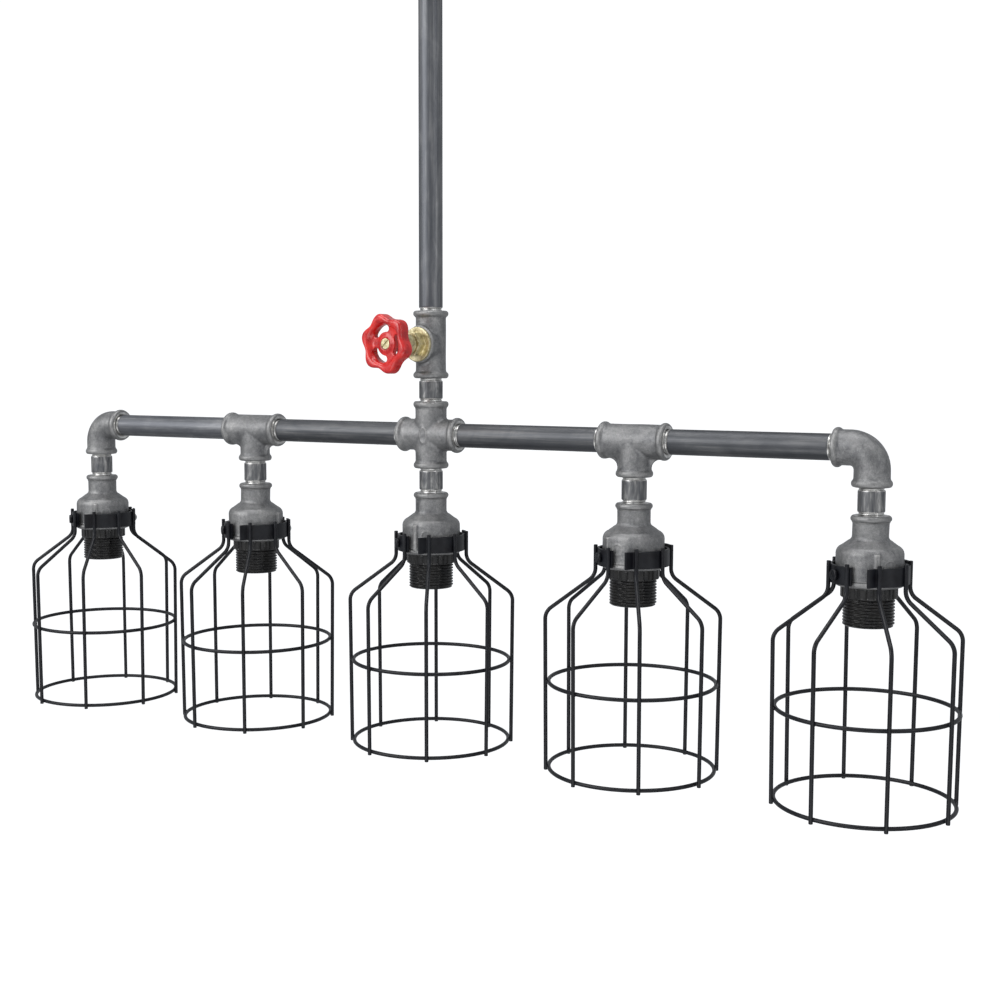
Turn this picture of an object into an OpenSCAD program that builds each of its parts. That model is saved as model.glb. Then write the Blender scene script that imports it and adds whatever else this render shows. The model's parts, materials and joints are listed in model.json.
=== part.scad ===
// Hanging light bar built from threaded iron pipe: a ceiling flange and drop pipe,
// a stopcock with a red handwheel, and a bar that carries a row of lamps in wire guards.
// Millimetres, Z up. The origin is the centre of the flange face that meets the ceiling,
// and the bar runs along X.

/* [Layout] */
// Distance from the ceiling down to the axis of the bar
bar_drop = 410; // [330:5:900]
// Distance between neighbouring lamps
lamp_spacing = 200; // [170:5:300]
// Height of the valve tee's centre above the bar
valve_rise = 81; // [74:1:160]
// Heading of the valve branch, seen from above, 0 along +X
valve_heading = -100; // [-180:5:180]
// Heading of the first wire of every guard
guard_heading = -62; // [-180:1:180]

/* [Pipe] */
// Outer diameter of the half-inch pipe
pipe_d = 21.3; // [21:0.1:21.8]
// Inner diameter of the pipe
pipe_bore_d = 16; // [15:0.5:16.5]
// Diameter of the pipe's thread
thread_d = 19.7; // [19.4:0.1:19.8]
// Length of thread that stays in sight beside a fitting
thread_showing = 2.4; // [1:0.2:4]

/* [Fittings] */
// Distance from a fitting's centre to its face
fitting_reach = 30; // [28:1:34]
// Outer diameter of the bead round each opening
bead_d = 31.6; // [31:0.2:34]
// Outer diameter of a fitting's body
fitting_d = 28.2; // [27:0.2:30]
// Height of the bead
bead_h = 5.2; // [4:0.2:6]

/* [Bell] */
// Height of the bell-shaped reducing socket
bell_h = 55; // [54:1:60]
// Outer diameter of its belly
bell_d = 52.2; // [52:0.2:53]
// Length of nipple between the fitting above and the bell
nipple_showing = 22; // [16:1:60]

/* [Lampholder] */
// Crest diameter of the thread on the lampholder's skirt
skirt_d = 40; // [39.6:0.2:40.4]
// Pitch of that thread
skirt_pitch = 2.5; // [2.5:0.1:3]
// Diameter of the collar band above the thread
band_d = 44; // [43:0.5:46]
// Inner diameter of the screw shell that takes the lamp cap
shell_bore_d = 26.7; // [26.5:0.1:27]

/* [Guard] */
// Number of upright wires in a guard
guard_wires = 8; // [6:1:10]
// Diameter of the guard's wire
wire_d = 3; // [2.6:0.1:3.2]
// Radius from the lamp's axis to the upright wires at the bottom ring
guard_r = 73; // [68:1:80]
// Distance from the bottom of the bell to the tips of the wires
guard_h = 175; // [150:5:220]

/* [Handwheel] */
// Mean radius of the lobed rim
wheel_r = 24.4; // [22:0.2:28]
// How far the lobes swing either side of the mean radius
lobe_depth = 2.1; // [1:0.1:3]
// Number of lobes
lobes = 6; // [5:1:8]

/* [Hidden] */
$fn = 64;
LAMPS = [1 : 5];
SIDES = ["left", "right"];

IRON = "dimgray";
STEEL = "slategray";
BLACK = [0.10, 0.10, 0.11];
BRASS = [0.80, 0.68, 0.36];
RED = "crimson";
WHITE = [0.92, 0.91, 0.87];

eps = 0.01;
middle_lamp = 3;
bar_z = -bar_drop;
valve_z = bar_z + valve_rise;
pipe_r = pipe_d / 2;
pipe_bore_r = pipe_bore_d / 2;
thread_r = thread_d / 2;
thread_engaged = 11;
pipe_chamfer = 0.9;

// Inside of the fittings
socket_r = thread_r + 0.1;
socket_depth = 13;
cavity_r = 9;
fitting_r = fitting_d / 2;
bead_r = bead_d / 2;
bead_round = bead_h / 2;
valve_body_r = 13.55;
elbow_bend_r = 17;
web_arc_r = 10;
web_arc_centre = 24.5;
web_t = 3;

// Ceiling flange
flange_r = 44.5;
flange_t = 6;
flange_hub_h = 20;
flange_hub_r = 15.8;
flange_holes = 4;
flange_pcd_r = 33.5;
flange_hole_r = 3.25;

// Bell, measured down from its top face
bell_r = bell_d / 2;
bell_neck_r = 14.1;
bell_neck_end = 16;
bell_neck_fillet = 4;
bell_shoulder_z = 30;
bell_shoulder_r = 7;
bell_foot_r = 27.1;
bell_foot_h = 6;
bell_bore_r = 19.35;
bell_bore_h = 24;
rib_w = 4;
rib_h = 23.2;
rib_proud = 1.8;
rib_top = 28;
// Headings at which the cast ribs stopped when the bells were screwed up tight
rib_headings = [-62, 2, -91, -121, -63];
bell_top_z = bar_z - fitting_reach - nipple_showing;
bell_foot_z = bell_top_z - bell_h;

// Lampholder, measured from the bottom of the bell
skirt_r = skirt_d / 2;
skirt_root_r = skirt_r - 1.2;
skirt_turns = 8;
band_r = band_d / 2;
band_h = 9;
band_flutes = 18;
flute_w = 1.5;
flute_depth = 1.1;
skirt_neck_r = 19.2;
skirt_neck_h = 20;
skirt_lip_h = 2.5;
skirt_h = band_h + skirt_turns * skirt_pitch + skirt_lip_h;
skirt_bore_r = 16.8;
base_r = 16.4;
base_top = 14;
base_foot = -2;
ledge_r = 15.2;
ledge_t = 2;
shell_r = shell_bore_d / 2 + 0.65;
shell_h = 25.5;
shell_floor_t = 0.8;
// the threaded length below the contact, and how much narrower the shell is above it
shell_thread_l = 20.4;
shell_neck = 0.5;
shell_window_r = 6;
contact_r = 4.5;
contact_top = -5;
contact_t = 1.2;
contact_stem_r = 1.5;
contact_stem_top = 4;
stem_hole_top = 7;
stem_clearance = 0.05;
terminal_x = 9;
terminal_shank_r = 1.5;
terminal_shank_h = 8;
terminal_head_r = 2.7;
terminal_head_h = 1.8;

// Guard, measured from the bottom of the bell
wire_r = wire_d / 2;
strap_in_r = 28.4;
strap_out_r = 30.8;
strap_low = 2.5;
strap_h = 14.5;
strap_gap_from = -40;
strap_gap_to = -4;
wire_top_r = 31.9;
wire_top_z = 19.5;
neck_corner_z = -6.7;
shoulder_corner_r = guard_r + 1.2;
shoulder_corner_z = -38.1;
wire_bend_r = 12;
bend_swell = 0.15;
bend_overlap = 0.6;
ring_heights = [-98, -172];
ring_bite = 0.4;
ear_len = 8.5;
ear_t = 1.4;
ear_root = 0.5;
ear_flare = 40;
lap_from = 96;
lap_to = 118;
lap_t = 1.8;
lap_extra_h = 2;
strap_mid_z = strap_low + strap_h / 2;
// Headings of the clamp screw, which has a pan head, and of the rivet head, from the first wire
screw_headings = [-70, 107];
screw_shank_r = 2;
screw_tip_r = bell_r + 0.05;
screw_seats = [strap_out_r, strap_out_r + lap_t];
screw_head_r = [4.4, 3.4];
screw_head_h = [3, 1.8];

// Valve, measured outward along the branch from the tee's axis
boss_r = 16.6;
boss_reach = 17;
boss_bead_h = 4.2;
boss_neck_r = 15;
boss_bore_r = 11;
bonnet_thread_r = 10.9;
bonnet_start = 9.8;
bonnet_flange_r = 15.2;
bonnet_flange_t = 2.6;
bonnet_hex_across = 20;
bonnet_hex_end = 28.5;
bonnet_neck_r = 7.6;
bonnet_neck_end = 37;
bonnet_cavity_r = 7.4;
bonnet_cavity_end = 16.2;
packing_r = 6;
packing_start = 31;
packing_t = 4.5;
spindle_r = 4.5;
spindle_bore_r = spindle_r + 0.05;
spindle_start = 10.6;
spindle_square = 6.4;
spindle_square_start = 47.4;
spindle_end = 57.2;
nut_start = 30;
nut_end = 43;
nut_r = 9.4;
nut_nose_r = 6.8;
nut_nose_h = 4;
jumper_start = 8.4;
jumper_t = 2;
jumper_r = 6;
jumper_stem_r = 2;
jumper_stem_len = 9;
washer_t = 2;
washer_r = 6.4;
hub_start = 47.5;
hub_end = 57.5;
hub_r = 6.6;
rim_start = 51.5;
rim_end = 64;
rim_w = 6.4;
web_start = 53.6;
web_end = 57;
wheel_phase = -16;
slot_phase = 115;
slot_count = 3;
slot_mid_r = 13.4;
slot_half_w = 3;
slot_sweep = 27;
outline_step = 5;
wheel_screw_head_r = 5;
wheel_screw_head_h = 2.7;
wheel_screw_shank_r = 2;
wheel_screw_len = 10;
driver_slot_w = 1.1;
driver_slot_h = 0.9;

// Wiring
supply_r = 3;
lead_r = 1.9;
lead_offset = 2.6;
lead_bend_r = 8;
splice_r = 6.5;
splice_h = 12;

function lamp_x(i) = (i - middle_lamp) * lamp_spacing;
function side_sign(s) = s == "left" ? -1 : 1;
function arc_points(c, r, from, to, steps = 8) =
    [for (k = [0 : steps]) let (a = from + (to - from) * k / steps) c + r * [cos(a), sin(a)]];

// ---- placing ----

module on_bar(x) {
    translate([x, 0, bar_z]) children();
}

// Z runs outward along the valve's branch, Y runs up
module on_valve() {
    translate([0, 0, valve_z]) rotate([90, 0, valve_heading + 90]) children();
}

// Z = 0 at the bottom of the bell of one lamp
module on_lamp(i) {
    translate([lamp_x(i), 0, bell_foot_z]) children();
}

// ---- pipe and fittings ----

// A threaded pipe that stands on Z = 0; its full diameter starts past the thread in sight
module pipe(length) {
    full = thread_engaged + thread_showing;
    rotate_extrude()
        polygon([
            [pipe_bore_r, 0],
            [thread_r, 0],
            [thread_r, full],
            [pipe_r - pipe_chamfer / 2, full],
            [pipe_r, full + pipe_chamfer],
            [pipe_r, length - full - pipe_chamfer],
            [pipe_r - pipe_chamfer / 2, length - full],
            [thread_r, length - full],
            [thread_r, length],
            [pipe_bore_r, length]
        ]);
}

// A pipe along X between the fittings centred at two places on the bar
module bar_pipe(from, to) {
    hidden = fitting_reach - thread_engaged;
    on_bar(from + hidden) rotate([0, 90, 0]) pipe(to - from - 2 * hidden);
}

// The solid arm of a fitting along +Z, from start to its face, with the bead
module arm(r = fitting_r, start = 0) {
    bead_c = [bead_r - bead_round, fitting_reach - bead_round];
    rotate_extrude()
        polygon(concat(
            [[0, start], [r, start], [r, fitting_reach - bead_h - 0.4]],
            arc_points(bead_c, bead_round, -80, 70),
            [[0, fitting_reach]]
        ));
}

// What an arm is hollowed by: the threaded socket and the passage behind it
module arm_bore(start = 0) {
    translate([0, 0, fitting_reach - socket_depth]) cylinder(h = socket_depth + 1, r = socket_r);
    translate([0, 0, start]) cylinder(h = fitting_reach - start, r = cavity_r);
}

// The thin web in the corner between the arms along +X and -Z
module corner_web() {
    inner = fitting_r - 3;
    rotate([90, 0, 0])
        linear_extrude(height = web_t, center = true)
            difference() {
                translate([inner, -web_arc_centre]) square([web_arc_centre - inner, web_arc_centre - inner]);
                translate([web_arc_centre, -web_arc_centre]) circle(r = web_arc_r);
            }
}

// A fitting with arms along the listed headings, given as rotations of +Z
module branched_fitting(arms, r = fitting_r) {
    difference() {
        union() for (a = arms) rotate(a) arm(r);
        for (a = arms) rotate(a) arm_bore();
    }
}

module cross_fitting() {
    color(IRON) on_bar(0) branched_fitting([[0, 90, 0], [0, -90, 0], [0, 0, 0], [180, 0, 0]]);
}

module bar_tee(side) {
    arms = [[0, 90, 0], [0, -90, 0], [180, 0, 0]];
    color(IRON)
        on_bar(side * lamp_spacing)
            difference() {
                union() {
                    for (a = arms) rotate(a) arm();
                    corner_web();
                    rotate([0, 0, 180]) corner_web();
                }
                for (a = arms) rotate(a) arm_bore();
            }
}

// One quarter of a ring in the XZ plane, joining the arms along -X and -Z
module elbow_bend(r) {
    translate([-elbow_bend_r, 0, -elbow_bend_r])
        rotate([90, 0, 0])
            rotate_extrude(angle = 90) translate([elbow_bend_r, 0]) circle(r = r);
}

module elbow(side) {
    color(IRON)
        on_bar(side * 2 * lamp_spacing)
            rotate([0, 0, side > 0 ? 0 : 180])
                difference() {
                    union() {
                        elbow_bend(fitting_r);
                        rotate([0, -90, 0]) arm(fitting_r, elbow_bend_r);
                        rotate([180, 0, 0]) arm(fitting_r, elbow_bend_r);
                    }
                    elbow_bend(cavity_r);
                    rotate([0, -90, 0]) arm_bore(elbow_bend_r);
                    rotate([180, 0, 0]) arm_bore(elbow_bend_r);
                }
}

module ceiling_flange() {
    color(IRON)
        difference() {
            union() {
                translate([0, 0, -flange_t]) cylinder(h = flange_t, r = flange_r);
                translate([0, 0, -flange_hub_h]) cylinder(h = flange_hub_h, r = flange_hub_r);
            }
            translate([0, 0, -flange_hub_h - 1]) cylinder(h = socket_depth + 1, r = socket_r);
            translate([0, 0, -flange_hub_h]) cylinder(h = flange_hub_h + 1, r = cavity_r);
            for (k = [0 : flange_holes - 1])
                rotate([0, 0, 360 / flange_holes * (k + 0.5)])
                    translate([flange_pcd_r, 0, -flange_t - 1])
                        cylinder(h = flange_t + 2, r = flange_hole_r);
        }
}

module drop_pipe() {
    foot = valve_z + fitting_reach - thread_engaged;
    top = -flange_hub_h + thread_engaged;
    color(STEEL) translate([0, 0, foot]) pipe(top - foot);
}

module stem_nipple() {
    foot = bar_z + fitting_reach - thread_engaged;
    color(STEEL) translate([0, 0, foot]) pipe(valve_rise - 2 * (fitting_reach - thread_engaged));
}

module inner_pipe(side) {
    color(STEEL)
        if (side > 0) bar_pipe(0, lamp_spacing);
        else bar_pipe(-lamp_spacing, 0);
}

module outer_pipe(side) {
    color(STEEL)
        if (side > 0) bar_pipe(lamp_spacing, 2 * lamp_spacing);
        else bar_pipe(-2 * lamp_spacing, -lamp_spacing);
}

module lamp_nipple(i) {
    color(STEEL)
        translate([lamp_x(i), 0, bell_top_z - thread_engaged])
            pipe(nipple_showing + 2 * thread_engaged);
}

// The bell is drawn from its top face downward, so every height in it is negative
module bell(i) {
    shoulder_c = [bell_r - bell_shoulder_r, -bell_shoulder_z];
    fillet_c = [bell_neck_r + bell_neck_fillet, -bell_neck_end];
    foot_c = [bell_foot_r - bell_foot_h / 2, bell_foot_h / 2 - bell_h];
    color(IRON)
        translate([lamp_x(i), 0, bell_top_z]) {
            rotate_extrude()
                polygon(concat(
                    [[socket_r, 0]],
                    arc_points([bead_r - bead_round, -bead_round], bead_round, 70, -80),
                    [[bell_neck_r, -bead_h - 0.4]],
                    arc_points(fillet_c, bell_neck_fillet, 180, 250),
                    arc_points(shoulder_c, bell_shoulder_r, 68, 0),
                    [[bell_r, bell_foot_h - bell_h + 0.5]],
                    arc_points(foot_c, bell_foot_h / 2, 70, -70),
                    [
                        [bell_bore_r, -bell_h],
                        [bell_bore_r, bell_bore_h - bell_h],
                        [cavity_r, bell_bore_h - bell_h + 13],
                        [cavity_r, -socket_depth],
                        [socket_r, -socket_depth]
                    ]
                ));
            rotate([0, 0, rib_headings[i - 1]])
                translate([bell_r - 1, -rib_w / 2, -rib_top - rib_h])
                    cube([1 + rib_proud, rib_w, rib_h]);
        }
}

// ---- lampholder ----

// The skirt's outline: neck inside the bell, collar band, then the ridges of the thread
function thread_points(z0) = [
    for (k = [0 : skirt_turns - 1], p = [[0, 0.5], [1, 0.95], [1, 1.55], [0, 2]])
        [skirt_root_r + p[0] * (skirt_r - skirt_root_r), z0 - (k + p[1] / 2) * skirt_pitch]
];

module holder_skirt(i) {
    color(BLACK)
        on_lamp(i)
            difference() {
                rotate_extrude()
                    polygon(concat(
                        [[base_r + 0.1, skirt_neck_h], [skirt_neck_r, skirt_neck_h], [skirt_neck_r, 0],
                         [band_r - 0.6, 0], [band_r, -0.6], [band_r, 0.6 - band_h], [band_r - 0.6, -band_h],
                         [skirt_root_r, -band_h]],
                        thread_points(-band_h),
                        [[skirt_root_r, 1 - skirt_h], [skirt_root_r - 0.8, -skirt_h],
                         [skirt_bore_r, -skirt_h], [skirt_bore_r, base_foot - ledge_t],
                         [ledge_r, base_foot - ledge_t], [ledge_r, base_foot], [base_r + 0.1, base_foot]]
                    ));
                for (k = [0 : band_flutes - 1])
                    rotate([0, 0, 360 / band_flutes * k])
                        translate([band_r - flute_depth, -flute_w / 2, -band_h - 1])
                            cube([flute_depth + 1, flute_w, band_h - 0.5]);
            }
}

// The ceramic block that carries the terminals and closes the top of the socket
module holder_base(i) {
    color(WHITE)
        on_lamp(i)
            difference() {
                translate([0, 0, base_foot]) cylinder(h = base_top - base_foot, r = base_r);
                translate([0, 0, base_foot - 1])
                    cylinder(h = stem_hole_top - base_foot + 1, r = contact_stem_r + stem_clearance);
                for (s = [-1, 1])
                    translate([s * terminal_x, 0, base_top - terminal_shank_h])
                        cylinder(h = terminal_shank_h + 1, r = terminal_shank_r + stem_clearance);
            }
}

module screw_shell(i) {
    color(BRASS)
        on_lamp(i)
            translate([0, 0, base_foot - shell_h])
                difference() {
                    cylinder(h = shell_h, r = shell_r);
                    translate([0, 0, -1]) cylinder(h = shell_thread_l + 1, r = shell_bore_d / 2);
                    cylinder(h = shell_h - shell_floor_t, r = shell_bore_d / 2 - shell_neck);
                    cylinder(h = shell_h + 1, r = shell_window_r);
                }
}

module centre_contact(i) {
    color(BRASS)
        on_lamp(i) {
            translate([0, 0, contact_top - contact_t]) cylinder(h = contact_t, r = contact_r);
            translate([0, 0, contact_top - contact_t / 2])
                cylinder(h = contact_stem_top - contact_top + contact_t / 2, r = contact_stem_r);
        }
}

module terminal_screws() {
    color(BRASS)
        for (i = LAMPS, s = [-1, 1])
            on_lamp(i)
                translate([s * terminal_x, 0, base_top]) {
                    cylinder(h = terminal_head_h, r = terminal_head_r);
                    translate([0, 0, -terminal_shank_h + 0.5]) cylinder(h = terminal_shank_h, r = terminal_shank_r);
                }
}

// ---- guard ----

// A straight rod between two points [radius, height] of the XZ plane
module rod(a, b) {
    d = b - a;
    translate([a[0], 0, a[1]]) rotate([0, atan2(d[0], d[1]), 0]) cylinder(h = norm(d), r = wire_r);
}

// The tangent arc that rounds the corner at c between the directions u (in) and v (out)
module wire_bend(c, u, v) {
    turn = acos(u * v);
    left = u[0] * v[1] - u[1] * v[0] > 0;
    side = left ? [-u[1], u[0]] : [u[1], -u[0]];
    start = c - u * wire_bend_r * tan(turn / 2);
    centre = start + side * wire_bend_r;
    a0 = atan2(-side[1], -side[0]);
    translate([centre[0], 0, centre[1]])
        rotate([90, 0, 0])
            rotate([0, 0, left ? a0 : a0 - turn])
                rotate_extrude(angle = turn) translate([wire_bend_r, 0]) circle(r = wire_r + bend_swell);
}

// The rings lie inside the upright wires, which lean in a little toward their tips
function ring_r(z) =
    let (lean = (shoulder_corner_r - guard_r) / (guard_h + shoulder_corner_z))
    guard_r + lean * (guard_h + z) - wire_d + ring_bite;

// One upright wire, from its top end down over the shoulder to its tip
module guard_wire() {
    a = [wire_top_r, wire_top_z];
    b = [wire_top_r, neck_corner_z];
    c = [shoulder_corner_r, shoulder_corner_z];
    d = [guard_r, -guard_h];
    u = (b - a) / norm(b - a);
    v = (c - b) / norm(c - b);
    w = (d - c) / norm(d - c);
    // The rods reach a little into the bends
    cut_b = wire_bend_r * tan(acos(u * v) / 2) - bend_overlap;
    cut_c = wire_bend_r * tan(acos(v * w) / 2) - bend_overlap;
    rod(a, b - u * cut_b);
    wire_bend(b, u, v);
    rod(b + v * cut_b, c - v * cut_c);
    wire_bend(c, v, w);
    rod(c + w * cut_c, d);
}

// The open strap, its flared ear, and the lap joint at the back
module guard_strap() {
    sweep = 360 - (strap_gap_to - strap_gap_from);
    translate([0, 0, strap_low]) {
        rotate([0, 0, strap_gap_to])
            rotate_extrude(angle = sweep)
                translate([strap_in_r, 0]) square([strap_out_r - strap_in_r, strap_h]);
        rotate([0, 0, strap_gap_to])
            translate([strap_in_r + 0.4, 0, 0])
                rotate([0, 0, ear_flare])
                    translate([0, -ear_len, 0]) cube([ear_t, ear_len + ear_root, strap_h]);
        rotate([0, 0, lap_from])
            rotate_extrude(angle = lap_to - lap_from)
                translate([strap_out_r - 0.4, 0]) square([lap_t + 0.4, strap_h + lap_extra_h]);
    }
}

module guard(i) {
    color(BLACK)
        on_lamp(i)
            rotate([0, 0, guard_heading])
                difference() {
                    union() {
                        guard_strap();
                        for (k = [0 : guard_wires - 1]) rotate([0, 0, 360 / guard_wires * k]) guard_wire();
                        for (z = ring_heights)
                            translate([0, 0, z])
                                rotate_extrude() translate([ring_r(z), 0]) circle(r = wire_r);
                    }
                    for (a = screw_headings)
                        rotate([0, 0, a])
                            translate([strap_in_r - 2, 0, strap_mid_z])
                                rotate([0, 90, 0]) cylinder(h = 8, r = screw_shank_r + 0.1);
                }
}

// The radial screws of every guard, whose tips bear on the belly of the bell
module guard_screws() {
    color(BLACK)
        for (i = LAMPS, k = [0 : len(screw_headings) - 1])
            on_lamp(i)
                rotate([0, 0, guard_heading + screw_headings[k]])
                    translate([0, 0, strap_mid_z])
                        rotate([0, 90, 0])
                            difference() {
                                union() {
                                    translate([0, 0, screw_tip_r])
                                        cylinder(h = screw_seats[k] - screw_tip_r + 0.5, r = screw_shank_r);
                                    translate([0, 0, screw_seats[k]])
                                        cylinder(h = screw_head_h[k], r = screw_head_r[k]);
                                }
                                translate([-5, -driver_slot_w / 2, screw_seats[k] + screw_head_h[k] - driver_slot_h])
                                    cube([10, driver_slot_w, 2]);
                            }
}

// ---- valve ----

module valve_tee() {
    boss_c = [boss_r - boss_bead_h / 2, boss_reach - boss_bead_h / 2];
    color(IRON)
        difference() {
            union() {
                translate([0, 0, valve_z]) {
                    arm(valve_body_r);
                    rotate([180, 0, 0]) arm(valve_body_r);
                }
                on_valve()
                    rotate_extrude()
                        polygon(concat(
                            [[0, 0], [boss_neck_r, 0], [boss_neck_r, boss_reach - boss_bead_h]],
                            arc_points(boss_c, boss_bead_h / 2, -60, 75),
                            [[0, boss_reach]]
                        ));
            }
            translate([0, 0, valve_z]) {
                arm_bore();
                rotate([180, 0, 0]) arm_bore();
            }
            on_valve() cylinder(h = boss_reach + 1, r = boss_bore_r);
        }
}

module bonnet() {
    color(BRASS)
        on_valve()
            difference() {
                union() {
                    translate([0, 0, bonnet_start]) cylinder(h = boss_reach - bonnet_start + 1, r = bonnet_thread_r);
                    translate([0, 0, boss_reach]) cylinder(h = bonnet_flange_t, r = bonnet_flange_r);
                    translate([0, 0, boss_reach + bonnet_flange_t])
                        cylinder(
                            h = bonnet_hex_end - boss_reach - bonnet_flange_t,
                            r = bonnet_hex_across / 2 / cos(30), $fn = 6
                        );
                    cylinder(h = bonnet_neck_end, r = bonnet_neck_r);
                }
                translate([0, 0, -1]) cylinder(h = bonnet_start + 1, r = bonnet_neck_r + 1);
                cylinder(h = bonnet_cavity_end, r = bonnet_cavity_r);
                cylinder(h = bonnet_neck_end + 1, r = spindle_bore_r);
                translate([0, 0, packing_start]) cylinder(h = bonnet_neck_end, r = packing_r + 0.05);
            }
}

module gland_packing() {
    color(WHITE)
        on_valve()
            translate([0, 0, packing_start])
                difference() {
                    cylinder(h = packing_t, r = packing_r);
                    translate([0, 0, -1]) cylinder(h = packing_t + 2, r = spindle_bore_r);
                }
}

module gland_nut() {
    color(BRASS)
        on_valve()
            difference() {
                union() {
                    translate([0, 0, nut_start]) cylinder(h = nut_end - nut_nose_h - nut_start, r = nut_r);
                    translate([0, 0, nut_start]) cylinder(h = nut_end - nut_start, r = nut_nose_r);
                }
                translate([0, 0, nut_start - 1])
                    cylinder(h = bonnet_neck_end - nut_start + 1 + eps, r = bonnet_neck_r + 0.05);
                cylinder(h = nut_end + 1, r = spindle_bore_r);
            }
}

module spindle() {
    color(BRASS)
        on_valve()
            difference() {
                union() {
                    translate([0, 0, spindle_start])
                        cylinder(h = spindle_square_start - spindle_start, r = spindle_r);
                    translate([-spindle_square / 2, -spindle_square / 2, spindle_square_start - 1])
                        cube([spindle_square, spindle_square, spindle_end - spindle_square_start + 1]);
                }
                translate([0, 0, spindle_start - 1])
                    cylinder(h = jumper_stem_len + 1, r = jumper_stem_r + stem_clearance);
                translate([0, 0, spindle_end - wheel_screw_len - 1])
                    cylinder(h = wheel_screw_len + 2, r = wheel_screw_shank_r + 0.1);
            }
}

module jumper() {
    color(BRASS)
        on_valve()
            translate([0, 0, jumper_start]) {
                cylinder(h = jumper_t, r = jumper_r);
                translate([0, 0, jumper_t / 2]) cylinder(h = jumper_t / 2 + jumper_stem_len - 0.5, r = jumper_stem_r);
            }
}

module valve_washer() {
    color(BLACK)
        on_valve() translate([0, 0, jumper_start - washer_t]) cylinder(h = washer_t, r = washer_r);
}

// The lobed outline of the rim at a mean radius, in the plane of the wheel
function lobed_outline(r) = [
    for (a = [0 : outline_step : 360 - outline_step])
        let (rr = r + lobe_depth * cos(lobes * (a - wheel_phase))) rr * [cos(a), sin(a)]
];

function kidney_outline() = concat(
    arc_points([0, 0], slot_mid_r + slot_half_w, -slot_sweep, slot_sweep),
    arc_points(slot_mid_r * [cos(slot_sweep), sin(slot_sweep)], slot_half_w, slot_sweep + 20, slot_sweep + 160, 5),
    arc_points([0, 0], slot_mid_r - slot_half_w, slot_sweep, -slot_sweep),
    arc_points(slot_mid_r * [cos(slot_sweep), -sin(slot_sweep)], slot_half_w, 200 - slot_sweep, 340 - slot_sweep, 5)
);

module handwheel() {
    color(RED)
        on_valve()
            difference() {
                union() {
                    translate([0, 0, rim_start])
                        linear_extrude(height = rim_end - rim_start)
                            difference() {
                                polygon(lobed_outline(wheel_r));
                                circle(r = wheel_r - rim_w);
                            }
                    translate([0, 0, web_start])
                        linear_extrude(height = web_end - web_start) circle(r = wheel_r - rim_w + 1);
                    translate([0, 0, hub_start]) cylinder(h = hub_end - hub_start, r = hub_r);
                }
                for (k = [0 : slot_count - 1])
                    rotate([0, 0, slot_phase + 360 / slot_count * k])
                        translate([0, 0, web_start - 1])
                            linear_extrude(height = web_end - web_start + 2) polygon(kidney_outline());
                translate([-spindle_square / 2 - 0.05, -spindle_square / 2 - 0.05, hub_start - 1])
                    cube([spindle_square + 0.1, spindle_square + 0.1, hub_end - hub_start + 2]);
            }
}

module wheel_screw() {
    color(BRASS)
        on_valve()
            difference() {
                union() {
                    translate([0, 0, hub_end]) cylinder(h = wheel_screw_head_h, r = wheel_screw_head_r);
                    translate([0, 0, hub_end - wheel_screw_len])
                        cylinder(h = wheel_screw_len + 1, r = wheel_screw_shank_r);
                }
                rotate([0, 0, 40])
                    translate([-6, -driver_slot_w / 2, hub_end + wheel_screw_head_h - driver_slot_h])
                        cube([12, driver_slot_w, 2]);
            }
}

// ---- wiring ----

// A lead from the splice along the bar, over a bend, and down into one lampholder
module side_lead(i) {
    s = sign(i - middle_lamp);
    run = abs(lamp_x(i)) - lead_bend_r - splice_r;
    drop_to = bell_foot_z + base_top - bar_z;
    y = abs(i - middle_lamp) == 1 ? lead_offset : -lead_offset;
    on_bar(0)
        rotate([0, 0, s > 0 ? 0 : 180])
            translate([0, s * y, 0]) {
                translate([splice_r, 0, 0]) rotate([0, 90, 0]) cylinder(h = run, r = lead_r);
                translate([splice_r + run, 0, -lead_bend_r])
                    rotate([90, 0, 0]) rotate_extrude(angle = 90) translate([lead_bend_r, 0]) circle(r = lead_r);
                translate([splice_r + run + lead_bend_r, 0, drop_to])
                    cylinder(h = -lead_bend_r - drop_to, r = lead_r);
            }
}

module wiring() {
    drop_to = bell_foot_z + base_top;
    color(WHITE) {
        translate([0, 0, bar_z + splice_h / 2]) cylinder(h = bar_drop - splice_h / 2 - 1, r = supply_r);
        translate([0, 0, drop_to]) cylinder(h = bar_z - splice_h / 2 - drop_to, r = lead_r);
        for (i = LAMPS) if (i != middle_lamp) side_lead(i);
    }
}

module splice_block() {
    color(WHITE)
        on_bar(0)
            intersection() {
                translate([0, 0, -splice_h / 2]) cylinder(h = splice_h, r = splice_r * 1.3);
                cube([2 * splice_r, 2 * splice_r, splice_h + 1], center = true);
            }
}

ceiling_flange();
drop_pipe();
valve_tee();
stem_nipple();
cross_fitting();  // cross
for (s = SIDES) {
    inner_pipe(side_sign(s));
    bar_tee(side_sign(s));
    outer_pipe(side_sign(s));
    elbow(side_sign(s));
}
for (i = LAMPS) {
    lamp_nipple(i);
    bell(i);
    holder_skirt(i);
    holder_base(i);
    screw_shell(i);
    centre_contact(i);
    guard(i);
}
guard_screws();
terminal_screws();
wiring();
splice_block();
bonnet();
gland_nut();
gland_packing();
spindle();
jumper();
valve_washer();
handwheel();
wheel_screw();
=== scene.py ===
"""Hanging light bar of threaded iron pipe: its visible pieces, materials, light and camera.

Lengths in this script are millimetres until a mesh is made. Fittings, the handwheel and other
castings are the zero surface of a distance field, so that their corners flow into one another
as castings do. Turned and moulded parts are revolved, and bent parts are swept.
"""
import json
import math

import bmesh
import bpy
import numpy as np
from mathutils import Matrix, Vector

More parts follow.
